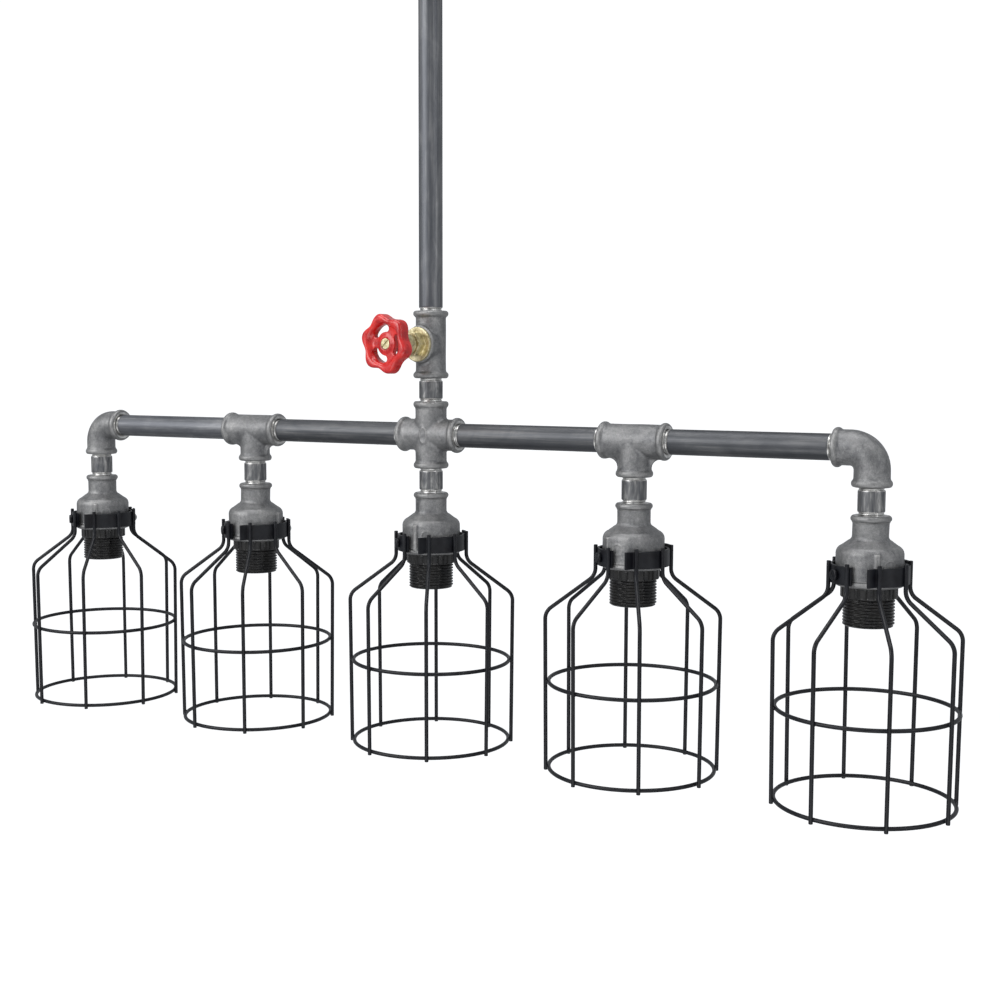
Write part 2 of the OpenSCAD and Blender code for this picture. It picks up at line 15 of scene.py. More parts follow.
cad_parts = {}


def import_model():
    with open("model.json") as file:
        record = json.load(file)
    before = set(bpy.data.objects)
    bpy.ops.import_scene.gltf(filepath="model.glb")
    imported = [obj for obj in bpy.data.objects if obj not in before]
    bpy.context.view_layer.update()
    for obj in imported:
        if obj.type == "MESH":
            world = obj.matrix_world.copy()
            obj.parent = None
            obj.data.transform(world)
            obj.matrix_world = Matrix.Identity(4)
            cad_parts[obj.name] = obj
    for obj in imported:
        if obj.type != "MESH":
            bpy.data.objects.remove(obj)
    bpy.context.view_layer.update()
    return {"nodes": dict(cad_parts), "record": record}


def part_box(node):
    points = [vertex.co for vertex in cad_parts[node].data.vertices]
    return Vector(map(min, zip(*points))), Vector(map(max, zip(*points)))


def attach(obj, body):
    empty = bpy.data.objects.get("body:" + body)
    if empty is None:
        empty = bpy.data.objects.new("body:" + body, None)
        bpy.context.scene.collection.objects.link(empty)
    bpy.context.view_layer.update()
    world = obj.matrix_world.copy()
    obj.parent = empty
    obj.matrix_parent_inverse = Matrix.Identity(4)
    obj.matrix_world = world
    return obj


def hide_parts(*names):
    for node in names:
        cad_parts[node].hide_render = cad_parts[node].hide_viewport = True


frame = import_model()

MM = 0.001
TAU = 2 * math.pi
LAMPS = range(1, 6)


def middle(node):
    lo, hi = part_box(node)
    return (np.array(lo) + np.array(hi)) / 2 / MM


BAR_Z = middle("inner_pipe_left")[2]
VALVE_Z = middle("valve_tee")[2]
LAMP_X = {i: middle(f"holder_base_{i}")[0] for i in LAMPS}
FOOT_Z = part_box("bell_1")[0][2] / MM
BELL_TOP_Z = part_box("bell_1")[1][2] / MM
SPACING = LAMP_X[4] - LAMP_X[3]
TURN = next(j for j in frame["record"]["behaviour"]["joints"] if j["name"] == "valve_turn")
VALVE_AXIS = np.array(TURN["axis"], float)

# Half-inch pipe: how far it is screwed in, and how much thread shows outside
PIPE_R = 10.65
PIPE_BORE_R = 8.0
THREAD_R = 9.85
THREAD_PITCH = 1.814
ENGAGED = 11.0
SHOWING = 2.4

# Malleable fittings: centre to face, the bead at each mouth, and the body
REACH = 30.0
BEAD_R = 15.8
BEAD_H = 5.2
FITTING_R = 14.1
CAVITY_R = 9.0
MOUTH_R = 13.4
CAST_STEP = 0.75

# Bells and guards
BELL_R = 26.1
WIRE_R = 1.72
GUARD_HEADING = math.radians(-62)
RING_HEIGHTS = (-98.0, -172.0)
GUARD_WIRES = 8


# ---- meshes ----

def add_piece(name, verts, faces, body, node, looks, face_look=None, sharp=None, place=None):
    """Makes one piece of millimetre vertices; face_look gives each face's index into looks."""
    verts = np.asarray(verts, float)
    if place is not None:
        verts = place(verts)
    mesh = bpy.data.meshes.new(name)
    mesh.from_pydata((verts * MM).tolist(), [], [list(map(int, f)) for f in faces])
    bm = bmesh.new()
    bm.from_mesh(mesh)
    bmesh.ops.remove_doubles(bm, verts=bm.verts, dist=1e-7)
    bmesh.ops.recalc_face_normals(bm, faces=bm.faces)
    for f in bm.faces:
        f.smooth = True
    if sharp is not None:
        for e in bm.edges:
            if len(e.link_faces) == 2 and e.calc_face_angle() > math.radians(sharp):
                e.smooth = False
    bm.to_mesh(mesh)
    bm.free()
    for look in looks:
        mesh.materials.append(look)
    if face_look is not None:
        centres = np.empty(len(mesh.polygons) * 3)
        mesh.polygons.foreach_get("center", centres)
        mesh.polygons.foreach_set("material_index", face_look(centres.reshape(-1, 3) / MM).astype(np.int32))
    obj = bpy.data.objects.new(name, mesh)
    bpy.context.scene.collection.objects.link(obj)
    nodes = [node] if isinstance(node, str) else node
    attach(obj, body)
    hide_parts(*nodes)
    return obj


def grid_faces(rows, cols, wrap_rows=True, wrap_cols=True):
    faces = []
    for i in range(rows if wrap_rows else rows - 1):
        for k in range(cols if wrap_cols else cols - 1):
            a, b = i, (i + 1) % rows
            c, d = k, (k + 1) % cols
            faces.append((a * cols + c, a * cols + d, b * cols + d, b * cols + c))
    return faces


def revolve(profile, segments=96, warp=None):
    """Turns a closed loop of (radius, height) about Z. warp(r, z, angle) may shift the radius."""
    prof = np.array(profile, float)
    angle = np.linspace(0, TAU, segments, endpoint=False)
    r = np.repeat(prof[:, :1], segments, 1)
    z = np.repeat(prof[:, 1:], segments, 1)
    a = np.repeat(angle[None, :], len(prof), 0)
    if warp is not None:
        r = warp(r, z, a)
    verts = np.stack([r * np.cos(a), r * np.sin(a), z], -1).reshape(-1, 3)
    return verts, grid_faces(len(prof), segments)


def arc(centre, radius, start, stop, steps=8):
    """Points of an arc, with angles in degrees."""
    angles = np.radians(np.linspace(start, stop, steps + 1))
    return [(centre[0] + radius * math.cos(t), centre[1] + radius * math.sin(t)) for t in angles]


def line(a, b, step):
    """Points from a up to but not including b, about one step apart."""
    n = max(1, int(round(math.dist(a, b) / step)))
    return [(a[0] + (b[0] - a[0]) * k / n, a[1] + (b[1] - a[1]) * k / n) for k in range(n)]


def sweep(path, section, up=None, closed=False):
    """Carries a section of (side, normal) points along a path with parallel frames."""
    path = np.array(path, float)
    n = len(path)
    ahead = np.roll(path, -1, 0) - path
    back = path - np.roll(path, 1, 0)
    if not closed:
        ahead[-1], back[0] = back[-1], ahead[0]
    ahead /= np.linalg.norm(ahead, axis=1)[:, None]
    back /= np.linalg.norm(back, axis=1)[:, None]
    tangent = ahead + back
    tangent /= np.linalg.norm(tangent, axis=1)[:, None]
    up = np.array([0, 0, 1.0] if up is None else up, float)
    side = np.cross(tangent, up)
    side /= np.linalg.norm(side, axis=1)[:, None]
    normal = np.cross(side, tangent)
    sec = np.array(section, float)
    rings = path[:, None, :] + sec[None, :, :1] * side[:, None, :] + sec[None, :, 1:] * normal[:, None, :]
    faces = grid_faces(n, len(sec), wrap_rows=closed)
    if not closed:
        faces.append(tuple(range(len(sec))))
        faces.append(tuple((n - 1) * len(sec) + k for k in reversed(range(len(sec)))))
    return rings.reshape(-1, 3), faces


def tapered_sweep(path, radius, sides=12, round_by=0.5, up=None):
    """A round rod along a path, with its ends rounded over."""
    verts, faces = sweep(path, [(math.cos(t), math.sin(t)) for t in np.linspace(0, TAU, sides, endpoint=False)], up)
    path = np.array(path, float)
    verts = verts.reshape(len(path), sides, 3)
    run = np.concatenate([[0], np.cumsum(np.linalg.norm(np.diff(path, axis=0), axis=1))])
    inset = np.minimum(run, run[-1] - run)
    scale = radius - round_by * (1 - np.sqrt(np.clip(1 - (1 - np.clip(inset / round_by, 0, 1)) ** 2, 0, 1)))
    verts = path[:, None, :] + (verts - path[:, None, :]) * scale[:, None, None]
    return verts.reshape(-1, 3), faces


def join(parts):
    """One list of vertices and faces from many."""
    verts, faces, base = [], [], 0
    for v, f in parts:
        verts.append(np.asarray(v, float))
        faces.extend(tuple(i + base for i in face) for face in f)
        base += len(v)
    return np.vstack(verts), faces


# ---- distance fields ----

def smooth_min(a, b, k):
    k = np.maximum(k, 1e-6)
    h = np.maximum(k - np.abs(a - b), 0) / k
    return np.minimum(a, b) - h * h * k / 4


def smooth_max(a, b, k):
    return -smooth_min(-a, -b, k)


def rod_field(rho, s, r, s0, s1, rounding=0.3):
    """A cylinder with rounded rims, in terms of the distance from its axis and along it."""
    q0 = rho - r + rounding
    q1 = np.abs(s - (s0 + s1) / 2) - (s1 - s0) / 2 + rounding
    outside = np.hypot(np.maximum(q0, 0), np.maximum(q1, 0))
    return np.minimum(np.maximum(q0, q1), 0) + outside - rounding


def split(p, axis):
    """Distance from an axis through the origin, and along it."""
    s = p @ axis
    return np.sqrt(np.maximum((p * p).sum(-1) - s * s, 1e-12)), s


def net(field, lo, hi, step):
    """The zero surface of a field as quads: one vertex a cell, then drawn onto the surface."""
    axes = [np.arange(a - 2 * step, b + 2.5 * step, step) for a, b in zip(lo, hi)]
    value = field(np.stack(np.meshgrid(*axes, indexing="ij"), -1))
    cells = np.array(value.shape)
    stride = np.array([cells[1] * cells[2], cells[2], 1])
    where, points, quads = [], [], []
    for d in range(3):
        first = [slice(None)] * 3
        second = [slice(None)] * 3
        first[d], second[d] = slice(0, -1), slice(1, None)
        f0, f1 = value[tuple(first)], value[tuple(second)]
        crossing = (f0 < 0) != (f1 < 0)
        idx = np.argwhere(crossing)
        t = f0[crossing] / (f0[crossing] - f1[crossing])
        pos = idx.astype(float)
        pos[:, d] += t
        u, v = (d + 1) % 3, (d + 2) % 3
        ring = []
        for du, dv in ((0, 0), (1, 0), (1, 1), (0, 1)):
            cell = idx.copy()
            cell[:, u] -= du
            cell[:, v] -= dv
            key = cell @ stride
            ring.append(key)
            where.append(key)
            points.append(pos)
        quads.append(np.stack(ring, 1))
    where, points = np.concatenate(where), np.concatenate(points)
    keys, slot = np.unique(where, return_inverse=True)
    count = np.bincount(slot)[:, None]
    verts = np.stack([np.bincount(slot, points[:, k]) for k in range(3)], 1) / count
    verts = verts * step + np.array([a[0] for a in axes])
    faces = np.searchsorted(keys, np.concatenate(quads))
    h = 0.02
    for _ in range(4):
        here = field(verts)
        slope = np.stack([field(verts + e) - field(verts - e) for e in np.eye(3) * h], 1) / (2 * h)
        move = -here[:, None] * slope / np.maximum((slope ** 2).sum(1), 0.25)[:, None]
        verts = verts + np.clip(move, -step / 2, step / 2)
    return verts, faces


def wobble(p, amount, scale, seed=0):
    """A slow, smooth unevenness, as cast surfaces have."""
    q = p / scale + seed * 7.3
    x, y, z = q[..., 0], q[..., 1], q[..., 2]
    return amount * (np.sin(x + 1.7 * np.sin(0.7 * y + z)) + np.sin(1.3 * y + 1.1 * np.sin(0.8 * z - x))
                     + np.sin(0.9 * z + 1.3 * np.sin(1.1 * x + 0.6 * y))) / 3


# ---- materials ----

class Look:
    """A small builder of procedural materials."""

    def __init__(self, name, **sockets):
        self.mat = bpy.data.materials.new(name)
        self.mat.use_nodes = True
        self.tree = self.mat.node_tree
        self.bsdf = self.tree.nodes["Principled BSDF"]
        for key, value in sockets.items():
            self.bsdf.inputs[key.replace("_", " ")].default_value = value
        self.coords = self.tree.nodes.new("ShaderNodeTexCoord").outputs["Object"]

    def add(self, kind, inputs=(), **settings):
        node = self.tree.nodes.new("ShaderNode" + kind)
        for key, value in settings.items():
            setattr(node, key, value)
        for key, value in dict(inputs).items():
            if isinstance(value, bpy.types.NodeSocket):
                self.tree.links.new(value, node.inputs[key])
            else:
                node.inputs[key].default_value = value
        return node

    def noise(self, size, detail=3.0, rough=0.55, stretch=None, distortion=0.0, offset=0.0):
        """Noise with features about this many millimetres across, stretched along an axis if asked."""
        vector = self.coords
        scale = [1.0, 1.0, 1.0] if stretch is None else stretch
        vector = self.add("Mapping", {"Vector": vector, "Scale": scale, "Location": (offset, offset * 0.7, offset * 1.3)}).outputs[0]
        return self.add("TexNoise", {
            "Vector": vector, "Scale": 1 / (size * MM), "Detail": detail, "Roughness": rough, "Distortion": distortion,
        }).outputs["Fac"]

    def ramp(self, value, stops):
        """Maps 0..1 to colours or greys at the given places."""
        node = self.add("ValToRGB", {"Fac": value})
        ramp = node.color_ramp
        while len(ramp.elements) < len(stops):
            ramp.elements.new(0.5)
        for element, (place, colour) in zip(ramp.elements, stops):
            element.position = place
            colour = (colour,) * 3 if isinstance(colour, (int, float)) else colour
            element.color = (*colour, 1.0)
        return node.outputs["Color"]

    def mix(self, factor, a, b, blend="MIX"):
        node = self.add("Mix", data_type="RGBA", blend_type=blend)
        for key, value in ((0, factor), (6, a), (7, b)):
            if isinstance(value, bpy.types.NodeSocket):
                self.tree.links.new(value, node.inputs[key])
            else:
                node.inputs[key].default_value = value if key == 0 else (*value, 1.0)
        return node.outputs[2]

    def math(self, operation, a, b=0.0):
        return self.add("Math", {0: a, 1: b}, operation=operation).outputs[0]

    def set(self, key, socket):
        self.tree.links.new(socket, self.bsdf.inputs[key])

    def bump(self, *layers):
        """Chains bump layers of (height, depth in millimetres)."""
        normal = None
        for height, depth in layers:
            node = self.add("Bump", {"Height": height, "Distance": depth * MM, "Strength": 1.0})
            if normal is not None:
                self.tree.links.new(normal, node.inputs["Normal"])
            normal = node.outputs["Normal"]
        self.set("Normal", normal)


def iron_look():
    """Bare malleable iron: sandy skin, oily dark patches, crests worn brighter."""
    look = Look("bare_iron", Metallic=0.78, Roughness=0.5)
    sand = look.noise(0.6, 4, 0.62)
    mottle = look.noise(2.4, 4, 0.6, offset=3.1)
    cloud = look.noise(13, 3, 0.55, offset=1.7)
    stain = look.noise(7, 4, 0.62, [1.0, 1.0, 0.6], 1.4, 8.3)
    level = look.math("ADD", look.math("MULTIPLY", cloud, 0.34),
                      look.math("ADD", look.math("MULTIPLY", mottle, 0.26), look.math("MULTIPLY", sand, 0.40)))
    tone = look.ramp(level, [
        (0.36, (0.115, 0.117, 0.122)), (0.47, (0.190, 0.191, 0.194)),
        (0.55, (0.260, 0.260, 0.260)), (0.66, (0.400, 0.398, 0.392)),
    ])
    oily = look.ramp(stain, [(0.56, 0.0), (0.70, 1.0)])
    tone = look.mix(look.math("MULTIPLY", oily, 0.45), tone, (0.070, 0.074, 0.085))
    worn = look.ramp(look.add("NewGeometry").outputs["Pointiness"], [(0.50, 0.0), (0.56, 1.0)])
    look.set("Base Color", look.mix(look.math("MULTIPLY", worn, 0.42), tone, (0.50, 0.49, 0.47)))
    look.set("Roughness", look.ramp(level, [(0.36, 0.34), (0.66, 0.58)]))
    look.bump((sand, 0.24), (mottle, 0.16))
    return look.mat


def scale_look(axis, name, copy_light_scale=1.0):
    """Rolled pipe under mill scale, with lengthwise streaks where it has worn bare; a scale on every tone makes the
    whole copy lighter or darker, which is painted light standing in for how the light falls on that pipe.
    """
    look = Look(name, Metallic=0.85, Roughness=0.42)
    along = [0.035 if k == axis else 1.0 for k in range(3)]
    long_ = [0.012 if k == axis else 1.0 for k in range(3)]
    streak = look.noise(2.2, 5, 0.62, along)
    rub = look.noise(6.5, 4, 0.6, long_, 0.4, 2.3)
    blotch = look.noise(17, 4, 0.6, [0.5 if k == axis else 1.0 for k in range(3)], 0.8, 5.9)
    fine = look.noise(0.5, 3, 0.6)
    level = look.math("ADD", look.math("MULTIPLY", streak, 0.35),
                      look.math("ADD", look.math("MULTIPLY", rub, 0.4), look.math("MULTIPLY", blotch, 0.25)))
    stops = [(0.34, (0.050, 0.055, 0.066)), (0.50, (0.100, 0.105, 0.116)),
             (0.60, (0.185, 0.188, 0.195)), (0.72, (0.38, 0.38, 0.385))]
    # Painted light: every tone is scaled, so the same steel reads lighter or darker from copy to copy as the light
    # falls on it.
    tone = look.ramp(level, [(place, tuple(copy_light_scale * c for c in colour)) for place, colour in stops])
    look.set("Base Color", look.mix(look.math("MULTIPLY", fine, 0.25), tone, (0.16, 0.155, 0.15)))
    look.set("Roughness", look.ramp(level, [(0.34, 0.42), (0.72, 0.56)]))
    look.bump((streak, 0.05), (fine, 0.03), (blotch, 0.08))
    return look.mat


def nipple_look():
    """Short nipples with bright upright streaks: partly wrench wear, partly a painted reflection of the lights on the
    round bodies.
    """
    look = Look("wrench_worn_steel_painted_sheen", Metallic=0.9, Roughness=0.36)
    streak = look.noise(2.6, 4, 0.6, [1.0, 1.0, 0.10])
    blotch = look.noise(7, 4, 0.6, [1.0, 1.0, 0.35], 1.2, 4.1)
    fine = look.noise(0.5, 3, 0.6)
    level = look.math("ADD", look.math("MULTIPLY", streak, 0.5), look.math("MULTIPLY", blotch, 0.5))
    # The brightest streak tones are partly a painted reflection: upright bright bands like those the lights make on a
    # round body.
    look.set("Base Color", look.ramp(level, [
        (0.36, (0.085, 0.090, 0.098)), (0.50, (0.165, 0.167, 0.172)), (0.60, (0.32, 0.318, 0.312)), (0.70, (0.56, 0.55, 0.535)),
    ]))
    look.set("Roughness", look.ramp(level, [(0.36, 0.48), (0.70, 0.34)]))
    look.bump((streak, 0.06), (fine, 0.03))
    return look.mat


def cut_steel_look():
    """Freshly cut thread and turned faces."""
    look = Look("cut_steel", Metallic=0.95, Roughness=0.28)
    fine = look.noise(0.4, 3, 0.6)
    slow = look.noise(5, 2, 0.5, offset=2.0)
    look.set("Base Color", look.ramp(slow, [(0.35, (0.46, 0.455, 0.445)), (0.65, (0.74, 0.735, 0.72))]))
    look.set("Roughness", look.ramp(fine, [(0.3, 0.22), (0.7, 0.38)]))
    look.bump((fine, 0.02))
    return look.mat


def enamel_look():
    """Satin black coat on the guards, thin on the wire."""
    look = Look("black_enamel", Metallic=0.0, Roughness=0.36, Specular_IOR_Level=0.30)
    fine = look.noise(0.6, 3, 0.6)
    slow = look.noise(9, 3, 0.5, offset=1.0)
    look.set("Base Color", look.ramp(slow, [(0.35, (0.003, 0.003, 0.005)), (0.65, (0.008, 0.009, 0.012))]))
    look.set("Roughness", look.ramp(look.math("ADD", look.math("MULTIPLY", fine, 0.4), look.math("MULTIPLY", slow, 0.6)),
                                    [(0.3, 0.28), (0.7, 0.46)]))
    look.bump((fine, 0.018), (slow, 0.06))
    return look.mat


def bakelite_look():
    """Black moulded phenolic with a trace of brown and shallow flow marks."""
    look = Look("moulded_phenolic", Roughness=0.26, Specular_IOR_Level=0.5)
    flow = look.noise(8, 3, 0.5, [1.0, 1.0, 0.4], 0.8)
    fine = look.noise(0.5, 2, 0.5)
    look.set("Base Color", look.ramp(flow, [(0.3, (0.007, 0.007, 0.008)), (0.7, (0.015, 0.014, 0.013))]))
    look.set("Roughness", look.ramp(flow, [(0.3, 0.20), (0.7, 0.34)]))
    look.bump((fine, 0.004), (flow, 0.01))
    return look.mat


def red_look():
    """Glossy red enamel on a rough little casting."""
    look = Look("red_enamel", Roughness=0.26, Specular_IOR_Level=0.5, Coat_Weight=0.4, Coat_Roughness=0.12)
    peel = look.noise(2.4, 3, 0.5)
    slow = look.noise(9, 3, 0.55, offset=2.2)
    fine = look.noise(0.5, 2, 0.5)
    look.set("Base Color", look.ramp(slow, [(0.3, (0.36, 0.004, 0.006)), (0.5, (0.56, 0.010, 0.010)), (0.7, (0.72, 0.022, 0.014))]))
    look.set("Roughness", look.ramp(slow, [(0.3, 0.22), (0.7, 0.36)]))
    look.bump((peel, 0.09), (fine, 0.008))
    return look.mat


def brass_look(name, centre, axis):
    """Turned brass gone dull: fine rings about an axis, and olive tarnish in patches."""
    look = Look(name, Metallic=0.95, Roughness=0.34)
    patch = look.noise(4.5, 4, 0.6, distortion=0.5)
    fine = look.noise(0.5, 3, 0.6)
    radial = look.add("VectorMath", {0: look.coords, 1: tuple(np.asarray(centre, float) * MM)}, operation="SUBTRACT").outputs[0]
    on_axis = look.add("VectorMath", {0: radial, 1: tuple(map(float, axis))}, operation="DOT_PRODUCT").outputs["Value"]
    rings = look.math("SINE", look.math("MULTIPLY", on_axis, TAU / (0.45 * MM)))
    level = look.math("ADD", look.math("MULTIPLY", patch, 0.75), look.math("MULTIPLY", fine, 0.25))
    tone = look.ramp(level, [(0.36, (0.34, 0.285, 0.155)), (0.48, (0.58, 0.51, 0.30)), (0.62, (0.80, 0.73, 0.49))])
    look.set("Base Color", tone)
    look.set("Roughness", look.ramp(level, [(0.36, 0.50), (0.62, 0.36)]))
    look.bump((rings, 0.006), (fine, 0.03))
    return look.mat


def ceramic_look():
    look = Look("white_ceramic", Roughness=0.45, Subsurface_Weight=0.05)
    grain = look.noise(0.8, 3, 0.6)
    slow = look.noise(8, 3, 0.5)
    look.set("Base Color", look.ramp(slow, [(0.3, (0.74, 0.72, 0.67)), (0.7, (0.86, 0.85, 0.81))]))
    look.set("Roughness", look.ramp(grain, [(0.3, 0.38), (0.7, 0.56)]))
    look.bump((grain, 0.02))
    return look.mat


def insulation_look():
    look = Look("insulation", Roughness=0.5)
    grain = look.noise(1.2, 3, 0.6)
    look.set("Base Color", look.ramp(grain, [(0.3, (0.66, 0.65, 0.62)), (0.7, (0.78, 0.77, 0.74))]))
    look.set("Roughness", look.ramp(grain, [(0.3, 0.42), (0.7, 0.58)]))
    look.bump((grain, 0.02))
    return look.mat


def rubber_look():
    look = Look("washer_rubber", Roughness=0.7)
    grain = look.noise(0.5, 3, 0.6)
    look.set("Base Color", look.ramp(grain, [(0.3, (0.014, 0.014, 0.014)), (0.7, (0.032, 0.031, 0.030))]))
    look.set("Roughness", look.ramp(grain, [(0.3, 0.6), (0.7, 0.8)]))
    look.bump((grain, 0.03))
    return look.mat


def packing_look():
    look = Look("braided_packing", Roughness=0.8, Sheen_Weight=0.3)
    braid = look.noise(1.0, 4, 0.6, [2.0, 1.0, 1.0], 1.0)
    look.set("Base Color", look.ramp(braid, [(0.3, (0.45, 0.43, 0.38)), (0.7, (0.74, 0.72, 0.66))]))
    look.set("Roughness", look.ramp(braid, [(0.3, 0.7), (0.7, 0.9)]))
    look.bump((braid, 0.12))
    return look.mat


IRON = iron_look()
# Painted light: the bar pipes are darkened and the drop pipe and the left end pipe lightened, standing in for how the
# light falls on each.
PIPE_X = scale_look(0, "mill_scale_bar", 0.8)
PIPE_Z = scale_look(2, "mill_scale_drop", 1.25)
PIPE_END = scale_look(0, "mill_scale_lighter", 1.45)
NIPPLE = nipple_look()
CUT = cut_steel_look()
ENAMEL = enamel_look()
BAKELITE = bakelite_look()
RED = red_look()
VALVE_CENTRE = np.array([0, 0, VALVE_Z])
BRASS_VALVE = brass_look("turned_brass", VALVE_CENTRE, VALVE_AXIS)
BRASS_SHELL = brass_look("rolled_brass", (0, 0, 0), (0, 0, 1))
CERAMIC = ceramic_look()
INSULATION = insulation_look()
RUBBER = rubber_look()
PACKING = packing_look()


# ---- fittings ----

X, Y, Z = np.eye(3)


def bead_field(rho, s):
    """The rounded bead at the mouth of an arm."""
    return rod_field(rho, s, BEAD_R, REACH - BEAD_H, REACH, 2.3)


def bore_field(p, axis):
    """What an arm is hollowed by: passage, socket, and the countersink at its mouth."""
    rho, s = split(p, axis)
    passage = np.maximum(rho - CAVITY_R, -s - 1)
    socket = np.maximum(rho - (THREAD_R + 0.25), REACH - 12 - s)
    sink = np.maximum(rho - (THREAD_R + 1.3), REACH - 1.1 - s + (rho - THREAD_R) * 0.8)
    return np.minimum(np.minimum(passage, socket), sink)


def run_field(p, axis, r, mouths):
    """A straight run along an axis, with beads at the listed ends."""
    rho, s = split(p, axis)
    lo = -REACH + 0.6 if -1 in mouths else -3.0
    hi = REACH - 0.6 if 1 in mouths else 3.0
    d = rod_field(rho, s, r, lo, hi, 0.4)
    for m in mouths:
        d = smooth_min(d, bead_field(rho, m * s), 1.8)
    return d


def corner_blend(p, axis_a, axis_b, k):
    """How wide to blend two runs: fully in the corner, not at all where they are flush."""
    ra = p - (p @ axis_a)[..., None] * axis_a
    rb = p - (p @ axis_b)[..., None] * axis_b
    dot = (ra * rb).sum(-1) / np.maximum(np.linalg.norm(ra, axis=-1) * np.linalg.norm(rb, axis=-1), 1e-6)
    return k * np.clip(1 - dot, 0, 1)


def finish_casting(d, p, arms, seed):
    for a in arms:
        d = smooth_max(d, -bore_field(p, a), 0.25)
    return d + wobble(p, 0.12, 6.0, seed)


def cross_field(p):
    bar = run_field(p, X, FITTING_R, (-1, 1))
    stem = run_field(p, Z, FITTING_R, (-1, 1))
    d = smooth_min(bar, stem, corner_blend(p, X, Z, 4.5))
    # A plain raised oval on the front and back
    oval = np.hypot(p[..., 0] / 3.4, p[..., 2] / 6.6)
    ridge = np.exp(-((oval - 1) / 0.20) ** 2) * np.clip(np.abs(p[..., 1]) - 10, 0, 1)
    d = d - 0.55 * ridge
    return finish_casting(d, p, (X, -X, Z, -Z), 1)


def web_field(p, sign):
    """The thin web in the corner below the bar, with a hollowed edge."""
    x, z = p[..., 0] * sign, p[..., 2]
    box = np.maximum(np.abs(x - 17) - 7.5, np.abs(z + 17) - 7.5)
    plate = smooth_max(box, 10 - np.hypot(x - 24.5, z + 24.5), 0.8)
    return smooth_max(plate, np.abs(p[..., 1]) - 1.5, 0.8)


def tee_field(seed):
    def field(p):
        bar = run_field(p, X, FITTING_R, (-1, 1))
        stem = run_field(p, Z, FITTING_R, (-1,))
        d = smooth_min(bar, stem, corner_blend(p, X, Z, 4.5))
        for sign in (-1, 1):
            d = smooth_min(d, web_field(p, sign), 2.6)
        return finish_casting(d, p, (X, -X, -Z), seed)
    return field


def elbow_field(side, seed):
    bend = 17.0

    def field(p):
        # Mirrored so that the arms always run along -X and -Z
        q = p * np.array([side, 1, 1])
        u, v = q[..., 0] + bend, q[..., 2] + bend
        in_bend = (u > 0) & (v > 0)
        ring = np.hypot(u, v) - bend
        to_path = np.where(in_bend, ring, np.where(u <= 0, q[..., 2], q[..., 0]))
        to_path = np.where((u <= 0) & (v <= 0), np.minimum(np.abs(q[..., 2]), np.abs(q[..., 0])), to_path)
        tube = np.hypot(to_path, q[..., 1])
        ends = np.maximum(-(q[..., 0] + REACH - 0.6), -(q[..., 2] + REACH - 0.6))
        d = smooth_max(tube - FITTING_R, ends, 0.8)
        for axis in (-X, -Z):
            rho, s = split(q, axis)
            d = smooth_min(d, bead_field(rho, s), 1.8)
        d = smooth_max(d, CAVITY_R - np.maximum(tube, 0) - np.maximum(ends, 0), 0.3)
        for axis in (-X, -Z):
            rho, s = split(q, axis)
            mouth = np.minimum(
                np.maximum(rho - (THREAD_R + 0.25), REACH - 12 - s),
                np.maximum(rho - (THREAD_R + 1.3), REACH - 1.1 - s + (rho - THREAD_R) * 0.8),
            )
            d = smooth_max(d, -mouth, 0.25)
        return d + wobble(p, 0.12, 6.0, seed)
    return field


def valve_tee_field(p):
    stem = run_field(p, Z, 13.55, (-1, 1))
    rho, s = split(p, VALVE_AXIS)
    boss = rod_field(rho, s, 15.0, 0, 16.4, 0.4)
    boss = smooth_min(boss, rod_field(rho, s, 16.7, 12.8, 17.0, 1.8), 1.6)
    d = smooth_min(stem, boss, corner_blend(p, Z, VALVE_AXIS, 4.0))
    d = smooth_max(d, -np.maximum(rho - 11.0, -s), 0.25)
    return finish_casting(d, p, (Z, -Z), 7)


def flange_field(p):
    rho, z = np.hypot(p[..., 0], p[..., 1]), p[..., 2]
    d = rod_field(rho, z, 44.5, -6.0, 0.0, 1.2)
    d = smooth_min(d, rod_field(rho, z, 15.8, -20.0, -3.0, 1.6), 5.0)
    for k in range(4):
        a = TAU * (k + 0.5) / 4
        hole = np.hypot(p[..., 0] - 33.5 * math.cos(a), p[..., 1] - 33.5 * math.sin(a))
        d = smooth_max(d, 3.25 - hole, 0.8)
    d = smooth_max(d, CAVITY_R - rho, 0.4)
    d = smooth_max(d, -np.maximum(rho - THREAD_R - 0.25, z + 8), 0.25)
    return np.maximum(d + wobble(p, 0.08, 8.0, 9), z)


def fitting(name, field, lo, hi, centre, arms):
    """A casting round its own centre; the flat face of each mouth is bright."""
    centre = np.asarray(centre, float)
    verts, faces = net(field, lo, hi, CAST_STEP)

    def machined(c):
        local = c - centre
        bright = np.zeros(len(c), bool)
        for a in arms:
            rho, s = split(local, a)
            bright |= (rho < MOUTH_R) & (s > REACH - 1.3)
        return bright

    add_piece(name + "_casting", verts + centre, faces, "fixture", name, (IRON, CUT), machined)


box_x, box_y = REACH, 17.5
fitting("cross", cross_field, (-REACH, -box_y, -REACH), (REACH, box_y, REACH), (0, 0, BAR_Z), (X, -X, Z, -Z))
for side, sign in (("left", -1), ("right", 1)):
    fitting(f"tee_{side}", tee_field(2 + sign), (-REACH, -box_y, -REACH), (REACH, box_y, 16.5),
            (sign * SPACING, 0, BAR_Z), (X, -X, -Z))
    fitting(f"elbow_{side}", elbow_field(sign, 5 + sign), (-REACH if sign > 0 else -16.5, -box_y, -REACH),
            (16.5 if sign > 0 else REACH, box_y, 16.5), (2 * sign * SPACING, 0, BAR_Z), (-X * sign, -Z))
fitting("valve_tee", valve_tee_field, (-18.5, -21, -REACH), (18.5, 17, REACH), VALVE_CENTRE, (Z, -Z))
verts, faces = net(flange_field, (-45, -45, -20), (45, 45, 0), 1.1)
add_piece("flange_casting", verts, faces, "fixture", "ceiling_flange", (IRON,))


# ---- pipes ----

